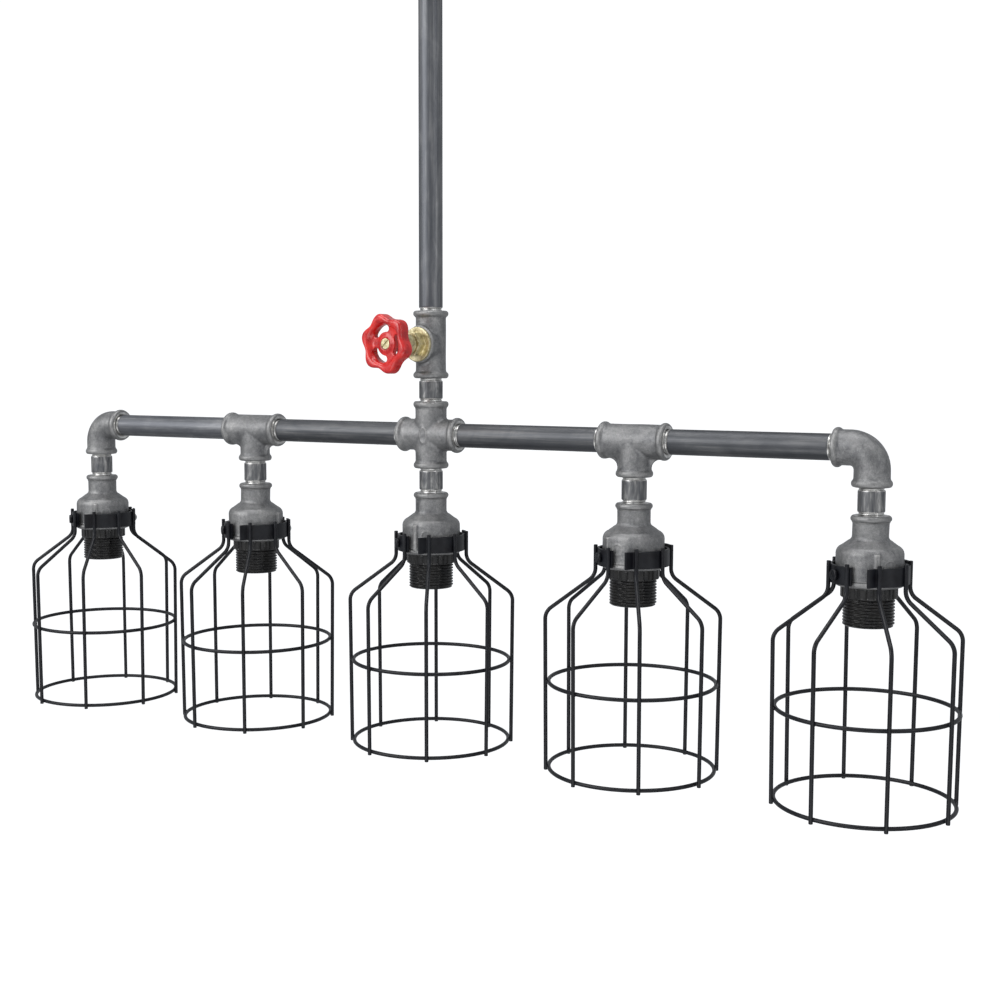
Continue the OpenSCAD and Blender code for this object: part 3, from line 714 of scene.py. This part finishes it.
def pipe_mesh(length, phase=0.0):
    """A pipe standing on Z = 0: engaged thread, thread in sight, chamfer, body, and the same above."""
    full = ENGAGED + SHOWING
    hidden = ENGAGED - 1.2
    outer = [(THREAD_R, 0.0)]
    outer += line((THREAD_R, hidden), (THREAD_R, full), 0.22)
    outer += [(THREAD_R + 0.1, full), (PIPE_R - 0.35, full + 0.05), (PIPE_R - 0.08, full + 0.6), (PIPE_R, full + 1.3)]
    outer += line((PIPE_R, full + 2.5), (PIPE_R, length - full - 2.5), 6.0)
    outer += [(PIPE_R, length - full - 2.5), (PIPE_R, length - full - 1.3), (PIPE_R - 0.08, length - full - 0.6),
              (PIPE_R - 0.35, length - full - 0.05), (THREAD_R + 0.1, length - full)]
    outer += line((THREAD_R, length - full), (THREAD_R, length - hidden), 0.22)
    outer += [(THREAD_R, length - hidden), (THREAD_R, length), (PIPE_BORE_R, length), (PIPE_BORE_R, 0.0)]

    def warp(r, z, a):
        lower = (z > hidden - 0.01) & (z < full - 0.2)
        upper = (z > length - full + 0.2) & (z < length - hidden + 0.01)
        near = (np.abs(r - THREAD_R) < 1e-6) & (lower | upper)
        wave = 0.5 + 0.5 * np.cos(TAU * z / THREAD_PITCH - a + phase)
        return np.where(near, r - 0.45 * wave, r)

    return revolve(outer, 72, warp)


def pipe_looks(along, lo, hi, full):
    """Bright steel on the threads and chamfers at both ends."""
    return lambda c: (c @ along < lo + full) | (c @ along > hi - full)


def pipe(name, start, axis, length, look, phase):
    verts, faces = pipe_mesh(length, phase)
    start = np.asarray(start, float)
    if axis is X:
        verts = verts[:, [2, 0, 1]]
    lo = start @ axis
    full = ENGAGED + SHOWING + 0.75
    add_piece(name + "_tube", verts + start, faces, "fixture", name, (look, CUT),
              pipe_looks(axis, lo, lo + length, full), sharp=35)


HIDDEN = REACH - ENGAGED
for side, sign in (("left", -1), ("right", 1)):
    for name, first in (("inner_pipe_", 0), ("outer_pipe_", 1)):
        x0 = sign * first * SPACING
        x0, x1 = sorted((x0, x0 + sign * SPACING))
        look = PIPE_END if (name, side) == ("outer_pipe_", "left") else PIPE_X
        pipe(name + side, (x0 + HIDDEN, 0, BAR_Z), X, x1 - x0 - 2 * HIDDEN, look, first + 2 * sign)
stem_low = BAR_Z + HIDDEN
pipe("stem_nipple", (0, 0, stem_low), Z, VALVE_Z - HIDDEN - stem_low, NIPPLE, 0.4)
drop_low = VALVE_Z + HIDDEN
drop_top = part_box("drop_pipe")[1][2] / MM
pipe("drop_pipe", (0, 0, drop_low), Z, drop_top - drop_low, PIPE_Z, 1.1)
for i in LAMPS:
    low = BELL_TOP_Z - ENGAGED
    pipe(f"lamp_nipple_{i}", (LAMP_X[i], 0, low), Z, BAR_Z - HIDDEN - low, NIPPLE, 0.9 * i)


# ---- bells ----

RIB_HEADINGS = {1: -62, 2: 2, 3: -91, 4: -121, 5: -63}
BELL_H = BELL_TOP_Z - FOOT_Z


def bell_profile():
    """Closed loop measured down from the top face; fine on the belly, where the marks are."""
    outer = [(THREAD_R + 1.3, 0.0), (BEAD_R - 2.6, 0.0)]
    outer += arc((BEAD_R - 2.6, -2.6), 2.6, 84, -72, 12)
    outer += arc((15.35, -6.4), 1.25, 120, 180, 4)
    outer += line((14.1, -7.2), (14.05, -16.0), 1.2)
    outer += arc((18.05, -16.0), 4.0, 180, 250, 8)
    outer += arc((BELL_R - 7.0, -30.0), 7.0, 68, 4, 14)
    outer += line((BELL_R, -30.4), (BELL_R, -48.6), 0.62)
    outer += [(BELL_R + 0.08, -48.9), (BELL_R + 0.35, -49.5)]
    outer += arc((24.4, -52.2), 2.75, 62, -72, 12)
    inner = [(19.5, -BELL_H), (19.5, -BELL_H + 24), (CAVITY_R, -BELL_H + 37), (CAVITY_R, -12.0),
             (THREAD_R + 0.25, -12.0), (THREAD_R + 0.25, -1.2)]
    return outer + inner


def bell_warp(heading, seed):
    heading = math.radians(heading)

    def warp(r, z, a):
        out = r > BELL_R * 0.5
        turn = (a - heading + math.pi) % TAU - math.pi
        w = turn * BELL_R
        bell_side = (z < -20) & (z > -51.5) & (r > 20)
        # The upright rib, with drafted flanks
        across = np.clip((2.35 - np.abs(w)) / 0.75, 0, 1)
        height = np.clip((-27.2 - z) / 1.0, 0, 1) * np.clip((z + 51.4) / 0.8, 0, 1)
        rib = across * height * np.maximum(27.85 - r, 0)
        # A plain raised ring beside it
        ring = np.hypot(w - 10.5, z + 37.5) - 4.6
        mark = 0.4 * np.exp(-(ring / 0.55) ** 2)
        uneven = 0.10 * (np.sin(3 * a + seed) * np.cos(z / 7 + seed) + np.sin(5 * a - z / 9 + 2 * seed))
        return r + np.where(bell_side, rib + mark, 0) + np.where(out & (r > 12), uneven, 0)
    return warp


for i in LAMPS:
    verts, faces = revolve(bell_profile(), 216, bell_warp(RIB_HEADINGS[i], i * 1.3))
    verts = verts + (LAMP_X[i], 0, BELL_TOP_Z)
    add_piece(f"bell_{i}_casting", verts, faces, "fixture", f"bell_{i}", (IRON, CUT),
              lambda c: (c[:, 2] > BELL_TOP_Z - 1.0) & (np.hypot(c[:, 0] - round(c[:, 0].mean()), c[:, 1]) < MOUTH_R))


# ---- lampholders ----

SKIRT_PITCH = 2.5
FLUTES = 18
EDISON_PITCH = 3.63


def skirt_profile():
    """Closed loop measured from the bottom of the bell: neck, fluted band, thread, inner bore."""
    outer = [(16.5, 20.0), (19.2, 20.0), (19.2, 0.15), (21.4, 0.15)]
    outer += arc((21.3, -0.65), 0.7, 80, 5, 4)
    outer += line((22.0, -0.9), (22.0, -8.0), 0.8)
    outer += arc((21.3, -8.2), 0.7, 0, -80, 4)
    outer += line((19.95, -9.0), (19.95, -30.6), 0.2)
    outer += [(19.0, -31.1), (18.6, -31.45)]
    inner = [(17.2, -31.5), (16.9, -31.2), (16.8, -30.6), (16.8, -4.0), (15.2, -4.0), (15.2, -2.0), (16.5, -2.0)]
    return outer + inner


def skirt_warp(r, z, a):
    """Cuts the flutes of the band and the helix of the outer thread."""
    flute = np.cos(FLUTES * a)
    band = (r > 21) & (z < -0.6) & (z > -8.3)
    r = r - np.where(band, 0.75 * np.clip((flute - 0.62) / 0.3, 0, 1), 0)
    thread = (r > 19.4) & (r < 20.2) & (z < -9.3)
    wave = ((z + a / TAU * SKIRT_PITCH) / SKIRT_PITCH) % 1.0
    tooth = np.clip((np.abs(wave - 0.5) * 2 - 0.22) / 0.5, 0, 1)
    fade = np.clip((-9.2 - z) / 1.2, 0, 1)
    return r - np.where(thread, 1.35 * tooth * fade, 0)


def shell_warp(r, z, a):
    """The rounded Edison thread rolled into thin brass."""
    wave = 0.5 + 0.5 * np.cos(TAU * (z / EDISON_PITCH + a / TAU))
    rolled = (z < -5.0) & (r > 12)
    return r + np.where(rolled, 0.55 * (wave - 0.5), 0)


for i in LAMPS:
    at = np.array([LAMP_X[i], 0, FOOT_Z])
    verts, faces = revolve(skirt_profile(), 144, skirt_warp)
    add_piece(f"holder_skirt_{i}_moulding", verts + at, faces, "fixture", f"holder_skirt_{i}", (BAKELITE,), sharp=50)
    shell = [(6.0, -2.1), (13.6, -2.1), (13.95, -2.5)] + line((13.95, -3.2), (13.95, -26.6), 0.45)
    shell += [(14.3, -27.0), (14.45, -27.45), (13.9, -27.5), (13.45, -27.1)]
    shell += line((13.35, -26.4), (13.35, -7.6), 0.45) + [(12.9, -6.9), (12.85, -3.3), (12.6, -2.9), (6.0, -2.9)]
    verts, faces = revolve(shell, 72, shell_warp)
    add_piece(f"screw_shell_{i}_rolled", verts + at, faces, "fixture", f"screw_shell_{i}", (BRASS_SHELL,), sharp=50)
    contact = [(0.01, -6.7), (2.0, -6.65), (3.4, -6.3), (4.2, -5.75), (4.5, -5.2), (4.4, -5.0), (1.9, -4.95), (1.5, -4.7),
               (1.5, 3.6), (1.2, 4.0), (0.01, 4.0)]
    verts, faces = revolve(contact, 40)
    add_piece(f"centre_contact_{i}_turned", verts + at, faces, f"contact_{i}", f"centre_contact_{i}", (BRASS_SHELL,), sharp=40)


# ---- guards ----

def bent_path(corners, radii, step=1.2):
    """A polyline with its corners rounded to the given radii, as points about a step apart."""
    pts = [np.array(corners[0], float)]
    for k in range(1, len(corners) - 1):
        a, b, c = (np.array(corners[j], float) for j in (k - 1, k, k + 1))
        u, v = (b - a) / np.linalg.norm(b - a), (c - b) / np.linalg.norm(c - b)
        turn = math.acos(np.clip(u @ v, -1, 1))
        cut = radii[k - 1] * math.tan(turn / 2)
        bisector = v - u
        bisector /= np.linalg.norm(bisector)
        centre = b + bisector * radii[k - 1] / math.cos(turn / 2)
        n = max(4, int(turn * radii[k - 1] / step))
        start, end = b - u * cut, b + v * cut
        arm0, arm1 = start - centre, end - centre
        for t in np.linspace(0, 1, n + 1):
            w = (math.sin((1 - t) * turn) * arm0 + math.sin(t * turn) * arm1) / math.sin(turn)
            pts.append(centre + w)
    pts.append(np.array(corners[-1], float))
    out = [pts[0]]
    for a, b in zip(pts, pts[1:]):
        n = max(1, int(np.linalg.norm(b - a) / 8))
        out += [a + (b - a) * (j + 1) / n for j in range(n)]
    return np.array(out)


def ease_ends(path, by=0.5):
    """Adds a few points near both ends so that they can be rounded."""
    path = np.array(path, float)
    u = (path[1] - path[0]) / np.linalg.norm(path[1] - path[0])
    v = (path[-2] - path[-1]) / np.linalg.norm(path[-2] - path[-1])
    steps = (0.12, 0.3, 0.6, 1.0)
    head = [path[0]] + [path[0] + u * by * s for s in steps]
    tail = [path[-1] + v * by * s for s in reversed(steps)] + [path[-1]]
    return np.vstack([head, path[1:-1], tail])


def polar(r, angle, z):
    return np.array([r * math.cos(angle), r * math.sin(angle), z])


def upright_r(z):
    """How far an upright wire's axis stands from the lamp's axis below the shoulder."""
    return 73.0 + 1.2 * (175 + z) / (175 - 38.1)


def guard_wires(rng):
    """The upright wires, none quite straight, with the rings welded inside them."""
    parts = []
    for k in range(GUARD_WIRES):
        heading = GUARD_HEADING + TAU * k / GUARD_WIRES
        lean = rng.normal(0, 0.004)
        bow = rng.normal(0, 0.25)
        corners = [(31.9, 19.5), (31.9, -6.7), (74.2, -38.1), (73.0 + bow * 0.3, -175.0)]
        flat = bent_path([(r, z, 0) for r, z in corners], (12, 12))
        path = [polar(p[0], heading + lean * max(0.0, -38 - p[1]) / 137, p[1]) for p in flat]
        parts.append(tapered_sweep(ease_ends(path), WIRE_R, 12, 0.45, up=polar(1, heading + math.pi / 2, 0)))
        for z in RING_HEIGHTS:
            # The weld where a ring crosses a wire
            at = polar(upright_r(z) - 1.3, heading + lean * (-38 - z) / 137, z)
            blob, faces = revolve([(0.01, -1), (0.5, -0.86), (0.86, -0.5), (1, 0), (0.86, 0.5), (0.5, 0.86), (0.01, 1)], 12)
            along = polar(1, heading, 0)
            across = polar(1, heading + math.pi / 2, 0)
            blob = blob[:, :1] * 1.25 * along + blob[:, 1:2] * 2.2 * across + blob[:, 2:] * 1.9 * Z
            parts.append((blob + at, faces))
    section = [(WIRE_R * math.cos(t), WIRE_R * math.sin(t)) for t in np.linspace(0, TAU, 12, endpoint=False)]
    for z in RING_HEIGHTS:
        r = upright_r(z) - 2.6
        angles = np.linspace(0, TAU, 96, endpoint=False)
        phase = rng.uniform(0, TAU)
        path = [polar(r + 0.25 * math.sin(2 * t + phase), t, z + 0.35 * math.sin(t + phase * 2)) for t in angles]
        parts.append(sweep(path, section, closed=True))
    return join(parts)


def strip_section(thick, low, high, edge=0.35):
    """A flat strip's section: side is across its thickness, normal is up."""
    t = thick / 2
    return [(-t + edge, low), (t - edge, low), (t, low + edge), (t, high - edge), (t - edge, high), (-t + edge, high),
            (-t, high - edge), (-t, low + edge)]


def guard_strap():
    """The band, bent outward into an ear at one end, and the lap riveted on at the back."""
    mid = 29.6
    gap_from, gap_to = math.radians(-40), math.radians(-4)
    angles = np.linspace(gap_from + TAU, gap_to, 120)
    path = [polar(mid, GUARD_HEADING + t, 0) for t in angles]
    start = path[-1]
    direction = path[-1] - path[-2]
    direction /= np.linalg.norm(direction)
    flare = math.radians(40)
    for k in range(1, 13):
        bend = min(1.0, k / 4) * flare
        out = Matrix.Rotation(bend, 3, "Z") @ Vector(direction)
        start = start + np.array(out) * 0.71
        path.append(start)
    band = sweep(path, strip_section(2.3, 2.5, 17.0))
    lap_angles = np.linspace(math.radians(96), math.radians(118), 16)
    lap = sweep([polar(31.7, GUARD_HEADING + t, 0) for t in lap_angles], strip_section(1.9, 2.5, 19.0))
    return join([band, lap])


SCREWS = ((-70, 30.75, 4.4, 3.0, "pan"), (107, 32.6, 3.4, 1.8, "dome"))


def screw_field(seat, head_r, head_h, style):
    def field(p):
        rho, s = np.hypot(p[..., 1], p[..., 2]), p[..., 0]
        shank = rod_field(rho, s, 1.95, BELL_R + 0.1, seat + 0.4, 0.3)
        if style == "dome":
            ball = np.hypot(rho, s - (seat + head_h - 4.2)) - 4.2
            head = smooth_max(ball, np.maximum(seat - s, rho - head_r), 0.3)
        else:
            head = rod_field(rho, s, head_r, seat, seat + head_h, 1.1)
            slot = np.maximum(np.abs(p[..., 1] * 0.8 + p[..., 2] * 0.6) - 0.5, seat + head_h - 1.0 - s)
            head = smooth_max(head, -slot, 0.15)
        return smooth_min(head, shank, 0.3)
    return field


screw_parts = []
for angle, seat, head_r, head_h, style in SCREWS:
    verts, faces = net(screw_field(seat, head_r, head_h, style), (BELL_R, -head_r - 0.3, -head_r - 0.3),
                       (seat + head_h, head_r + 0.3, head_r + 0.3), 0.3)
    screw_parts.append((math.radians(angle), verts, faces))

for i in LAMPS:
    at = np.array([LAMP_X[i], 0, FOOT_Z])
    rng = np.random.default_rng(40 + i)
    verts, faces = guard_wires(rng)
    add_piece(f"guard_{i}_wires", verts + at, faces, "fixture", f"guard_{i}", (ENAMEL,))
    verts, faces = guard_strap()
    add_piece(f"guard_{i}_strap", verts + at, faces, "fixture", f"guard_{i}", (ENAMEL,), sharp=30)
    parts = []
    for angle, verts, faces in screw_parts:
        t = GUARD_HEADING + angle
        c, s = math.cos(t), math.sin(t)
        turned = verts @ np.array([[c, s, 0], [-s, c, 0], [0, 0, 1]]) + (0, 0, 9.75)
        parts.append((turned, faces))
    verts, faces = join(parts)
    # The clamp screw is blackened with the guard; only the rivet's head is bright
    toward_rivet = polar(1, GUARD_HEADING + math.radians(SCREWS[1][0]), 0)
    add_piece(f"guard_{i}_screws", verts + at, faces, "fixture", "guard_screws", (CUT, ENAMEL),
              lambda c, at=at: (c - at) @ toward_rivet < SCREWS[1][1] - 0.1)


# ---- valve ----

RIGHT = np.cross(Z, VALVE_AXIS)


def on_valve(p):
    """From (right, up, outward) to the row frame."""
    return VALVE_CENTRE + p[..., :1] * RIGHT + p[..., 1:2] * Z + p[..., 2:] * VALVE_AXIS


def hexagon(p, across):
    d = np.full(p.shape[:-1], -1e9)
    for k in range(3):
        a = math.radians(30 + 60 * k)
        d = smooth_max(d, np.abs(p[..., 0] * math.cos(a) + p[..., 1] * math.sin(a)) - across / 2, 0.25)
    return d


def bonnet_field(p):
    rho, s = np.hypot(p[..., 0], p[..., 1]), p[..., 2]
    disc = rod_field(rho, s, 15.2, 17.0, 19.6, 0.5)
    nut = smooth_max(hexagon(p, 20.0), np.abs(s - 23.5) - 5.0, 0.3)
    chamfer = rho * 0.5 + s * 0.87 - (11.0 * 0.5 + 28.5 * 0.87)
    nut = smooth_max(nut, chamfer, 0.3)
    neck = rod_field(rho, s, 7.6, 16.0, 37.0, 0.4)
    thread = rod_field(rho, s, 10.9, 9.8, 18.0, 0.4)
    d = np.minimum(np.minimum(disc, thread), smooth_min(nut, neck, 0.8))
    d = smooth_min(d, disc, 0.8)
    d = smooth_max(d, -np.maximum(rho - 7.4, s - 16.2), 0.2)
    d = smooth_max(d, 4.6 - rho, 0.2)
    return smooth_max(d, -np.maximum(rho - 6.05, 31 - s), 0.2)


def nut_field(p):
    rho, s = np.hypot(p[..., 0], p[..., 1]), p[..., 2]
    cap = smooth_max(hexagon(p, 16.6), np.abs(s - 34.5) - 4.5, 0.3)
    cap = smooth_max(cap, rho * 0.5 + s * 0.87 - (8.9 * 0.5 + 39.0 * 0.87), 0.3)
    nose = rod_field(rho, s, 6.8, 36.0, 43.0, 1.2)
    d = smooth_min(cap, nose, 0.8)
    d = smooth_max(d, -np.maximum(rho - 7.65, s - 37.0), 0.1)
    return smooth_max(d, 4.65 - rho, 0.2)


def spindle_field(p):
    rho, s = np.hypot(p[..., 0], p[..., 1]), p[..., 2]
    rod = rod_field(rho, s, 4.5, 10.6, 47.4, 0.4)
    flats = np.maximum(np.abs(p[..., 0]), np.abs(p[..., 1])) - 3.2
    square = smooth_max(flats, np.abs(s - 51.8) - 5.4, 0.3)
    d = smooth_min(rod, square, 0.3)
    d = smooth_max(d, -np.maximum(rho - 2.05, s - 19.6), 0.15)
    return smooth_max(d, -np.maximum(rho - 2.1, 46.4 - s), 0.15)


LOBES = 6
WHEEL_PHASE = math.radians(-16)
SLOT_PHASE = math.radians(115)


def wheel_field(p):
    """The cast handwheel: lobed rim, dished web with three kidney slots, and a hub."""
    rho, s = np.hypot(p[..., 0], p[..., 1]), p[..., 2]
    a = np.arctan2(p[..., 1], p[..., 0])
    lobe = np.cos(LOBES * (a - WHEEL_PHASE))
    outer = 24.4 + 2.1 * lobe
    inner = 17.7 + 0.5 * lobe
    mid, half = (outer + inner) / 2, (outer - inner) / 2
    q0 = (np.abs(rho - mid) - half) * 0.96 + 3.0
    q1 = np.abs(s - 57.75) - 6.25 + 3.0
    rim = np.minimum(np.maximum(q0, q1), 0) + np.hypot(np.maximum(q0, 0), np.maximum(q1, 0)) - 3.0
    web = rod_field(rho, s, 19.5, 54.4, 59.2, 0.8)
    hub = rod_field(rho, s, 7.4, 47.5, 59.6, 0.8)
    d = smooth_min(rim, web, 4.5)
    d = smooth_min(d, hub, 2.0)
    d = smooth_max(d, -np.maximum(rho - 5.15, 57.5 - s), 0.2)
    for k in range(3):
        t = (a - SLOT_PHASE - TAU * k / 3 + math.pi) % TAU - math.pi
        sweep_ = math.radians(27)
        t_in = np.clip(t, -sweep_, sweep_)
        along = SLOT_PHASE + TAU * k / 3 + t_in
        kidney = np.hypot(p[..., 0] - 13.4 * np.cos(along), p[..., 1] - 13.4 * np.sin(along)) - 3.0
        d = smooth_max(d, -kidney, 1.0)
    square = np.maximum(np.abs(p[..., 0]), np.abs(p[..., 1])) - 3.3
    return smooth_max(d, -square, 0.3) + wobble(p, 0.06, 3.0, 3)


def wheel_screw_field(p):
    rho, s = np.hypot(p[..., 0], p[..., 1]), p[..., 2]
    head = rod_field(rho, s, 5.0, 57.5, 60.2, 0.7)
    shank = rod_field(rho, s, 1.95, 47.5, 58.0, 0.2)
    cut = np.abs(p[..., 0] * math.sin(math.radians(40)) - p[..., 1] * math.cos(math.radians(40)))
    head = smooth_max(head, -np.maximum(cut - 0.6, 59.2 - s), 0.15)
    return smooth_min(head, shank, 0.2)


def valve_piece(name, field, r, s0, s1, step, body, node, look):
    verts, faces = net(field, (-r, -r, s0), (r, r, s1), step)
    add_piece(name, on_valve(verts), faces, body, node, (look,))


valve_piece("bonnet_turned", bonnet_field, 15.5, 9.8, 37.0, 0.45, "fixture", "bonnet", BRASS_VALVE)
valve_piece("gland_nut_turned", nut_field, 9.8, 30.0, 43.0, 0.4, "fixture", "gland_nut", BRASS_VALVE)
valve_piece("spindle_turned", spindle_field, 5.0, 10.6, 57.2, 0.4, "valve_spindle", "spindle", BRASS_VALVE)
valve_piece("handwheel_casting", wheel_field, 27.2, 47.5, 64.0, 0.5, "valve_spindle", "handwheel", RED)
valve_piece("wheel_screw_turned", wheel_screw_field, 5.3, 47.5, 60.3, 0.3, "valve_spindle", "wheel_screw", BRASS_VALVE)


# ---- CAD parts that stay, out of sight inside the fittings ----

KEPT = {
    "wiring": INSULATION, "splice_block": INSULATION, "terminal_screws": BRASS_SHELL, "gland_packing": PACKING,
    "jumper": BRASS_VALVE, "valve_washer": RUBBER,
}
for i in LAMPS:
    KEPT[f"holder_base_{i}"] = CERAMIC
for node, look in KEPT.items():
    mesh = frame["nodes"][node].data
    mesh.materials.clear()
    mesh.materials.append(look)


# ---- floor, light and camera ----

# Light goes towards the middle of the object
MIDDLE = (0, 0, -0.45)

def floor():
    """A pale sweep far below the lamps that curves up behind them."""
    width, front, back, low, radius = 9.0, -5.0, 5.0, -1.9, 2.0
    rows = [(front, low), (back, low)]
    rows += [(back + radius * math.sin(t), low + radius * (1 - math.cos(t))) for t in np.linspace(0.1, math.pi / 2, 12)]
    rows += [(back + radius, 6.0)]
    verts = [(x, y, z) for y, z in rows for x in np.linspace(-width, width, 9)]
    mesh = bpy.data.meshes.new("floor_sweep")
    mesh.from_pydata(verts, [], grid_faces(len(rows), 9, False, False))
    for polygon in mesh.polygons:
        polygon.use_smooth = True
    look = Look("pale_floor", Roughness=0.9, Emission_Color=(1, 1, 1, 1), Emission_Strength=0.6)
    grain = look.noise(40, 2, 0.5)
    look.set("Base Color", look.ramp(grain, [(0.3, (0.90, 0.90, 0.905)), (0.7, (0.93, 0.93, 0.93))]))
    mesh.materials.append(look.mat)
    obj = bpy.data.objects.new("floor_sweep", mesh)
    bpy.context.scene.collection.objects.link(obj)
    obj.rotation_euler = (0, 0, math.radians(28.8))
    obj.visible_diffuse = obj.visible_glossy = False


def area_light(name, place, target, size, power, colour=(1, 1, 1)):
    data = bpy.data.lights.new(name, "AREA")
    data.shape = "RECTANGLE"
    data.size, data.size_y = size
    data.energy = power
    data.color = colour
    obj = bpy.data.objects.new(name, data)
    bpy.context.scene.collection.objects.link(obj)
    obj.location = place
    obj.rotation_euler = (Vector(target) - Vector(place)).to_track_quat("-Z", "Y").to_euler()


def world():
    """White behind the object, and a dimmer, slightly cool dome that lights it."""
    bpy.context.scene.view_settings.view_transform = "Standard"
    made = bpy.data.worlds.new("studio")
    bpy.context.scene.world = made
    made.use_nodes = True
    nodes, links = made.node_tree.nodes, made.node_tree.links
    dome = nodes["Background"]
    dome.inputs["Color"].default_value = (0.93, 0.96, 1.0, 1)
    dome.inputs["Strength"].default_value = 0.46
    seen = nodes.new("ShaderNodeBackground")
    seen.inputs["Color"].default_value = (1, 1, 1, 1)
    seen.inputs["Strength"].default_value = 1.06
    mix = nodes.new("ShaderNodeMixShader")
    links.new(nodes.new("ShaderNodeLightPath").outputs["Is Camera Ray"], mix.inputs["Fac"])
    links.new(dome.outputs[0], mix.inputs[1])
    links.new(seen.outputs[0], mix.inputs[2])
    links.new(mix.outputs[0], nodes["World Output"].inputs["Surface"])


YAW, PITCH, ROLL = math.radians(28.79), math.radians(-5.38), math.radians(0.16)
EYE = (0.6927, -1.1308, BAR_Z * MM + 0.0656)
LENS, SENSOR = 52.78, 36.0


def camera():
    """The viewpoint, fitted to the row of guards: right of centre, a little above the bar."""
    data = bpy.data.cameras.new("camera")
    data.sensor_width = SENSOR
    data.lens = LENS
    data.clip_end = 60.0
    obj = bpy.data.objects.new("camera", data)
    bpy.context.scene.collection.objects.link(obj)
    obj.location = EYE
    look = Vector((-math.sin(YAW) * math.cos(PITCH), math.cos(YAW) * math.cos(PITCH), math.sin(PITCH)))
    obj.rotation_euler = (look.to_track_quat("-Z", "Y").to_matrix() @ Matrix.Rotation(ROLL, 3, "Z")).to_euler()
    bpy.context.scene.camera = obj


floor()
world()
camera()
area_light("key", (-1.4, -2.3, 0.7), MIDDLE, (2.2, 2.0), 56)
area_light("fill", (2.6, -0.6, 0.2), MIDDLE, (0.5, 1.8), 9)
area_light("top", (0.0, -0.2, 1.6), MIDDLE, (2.4, 1.0), 26)
area_light("low_sweep", (0.6, -1.4, -1.5), MIDDLE, (2.2, 1.2), 12)
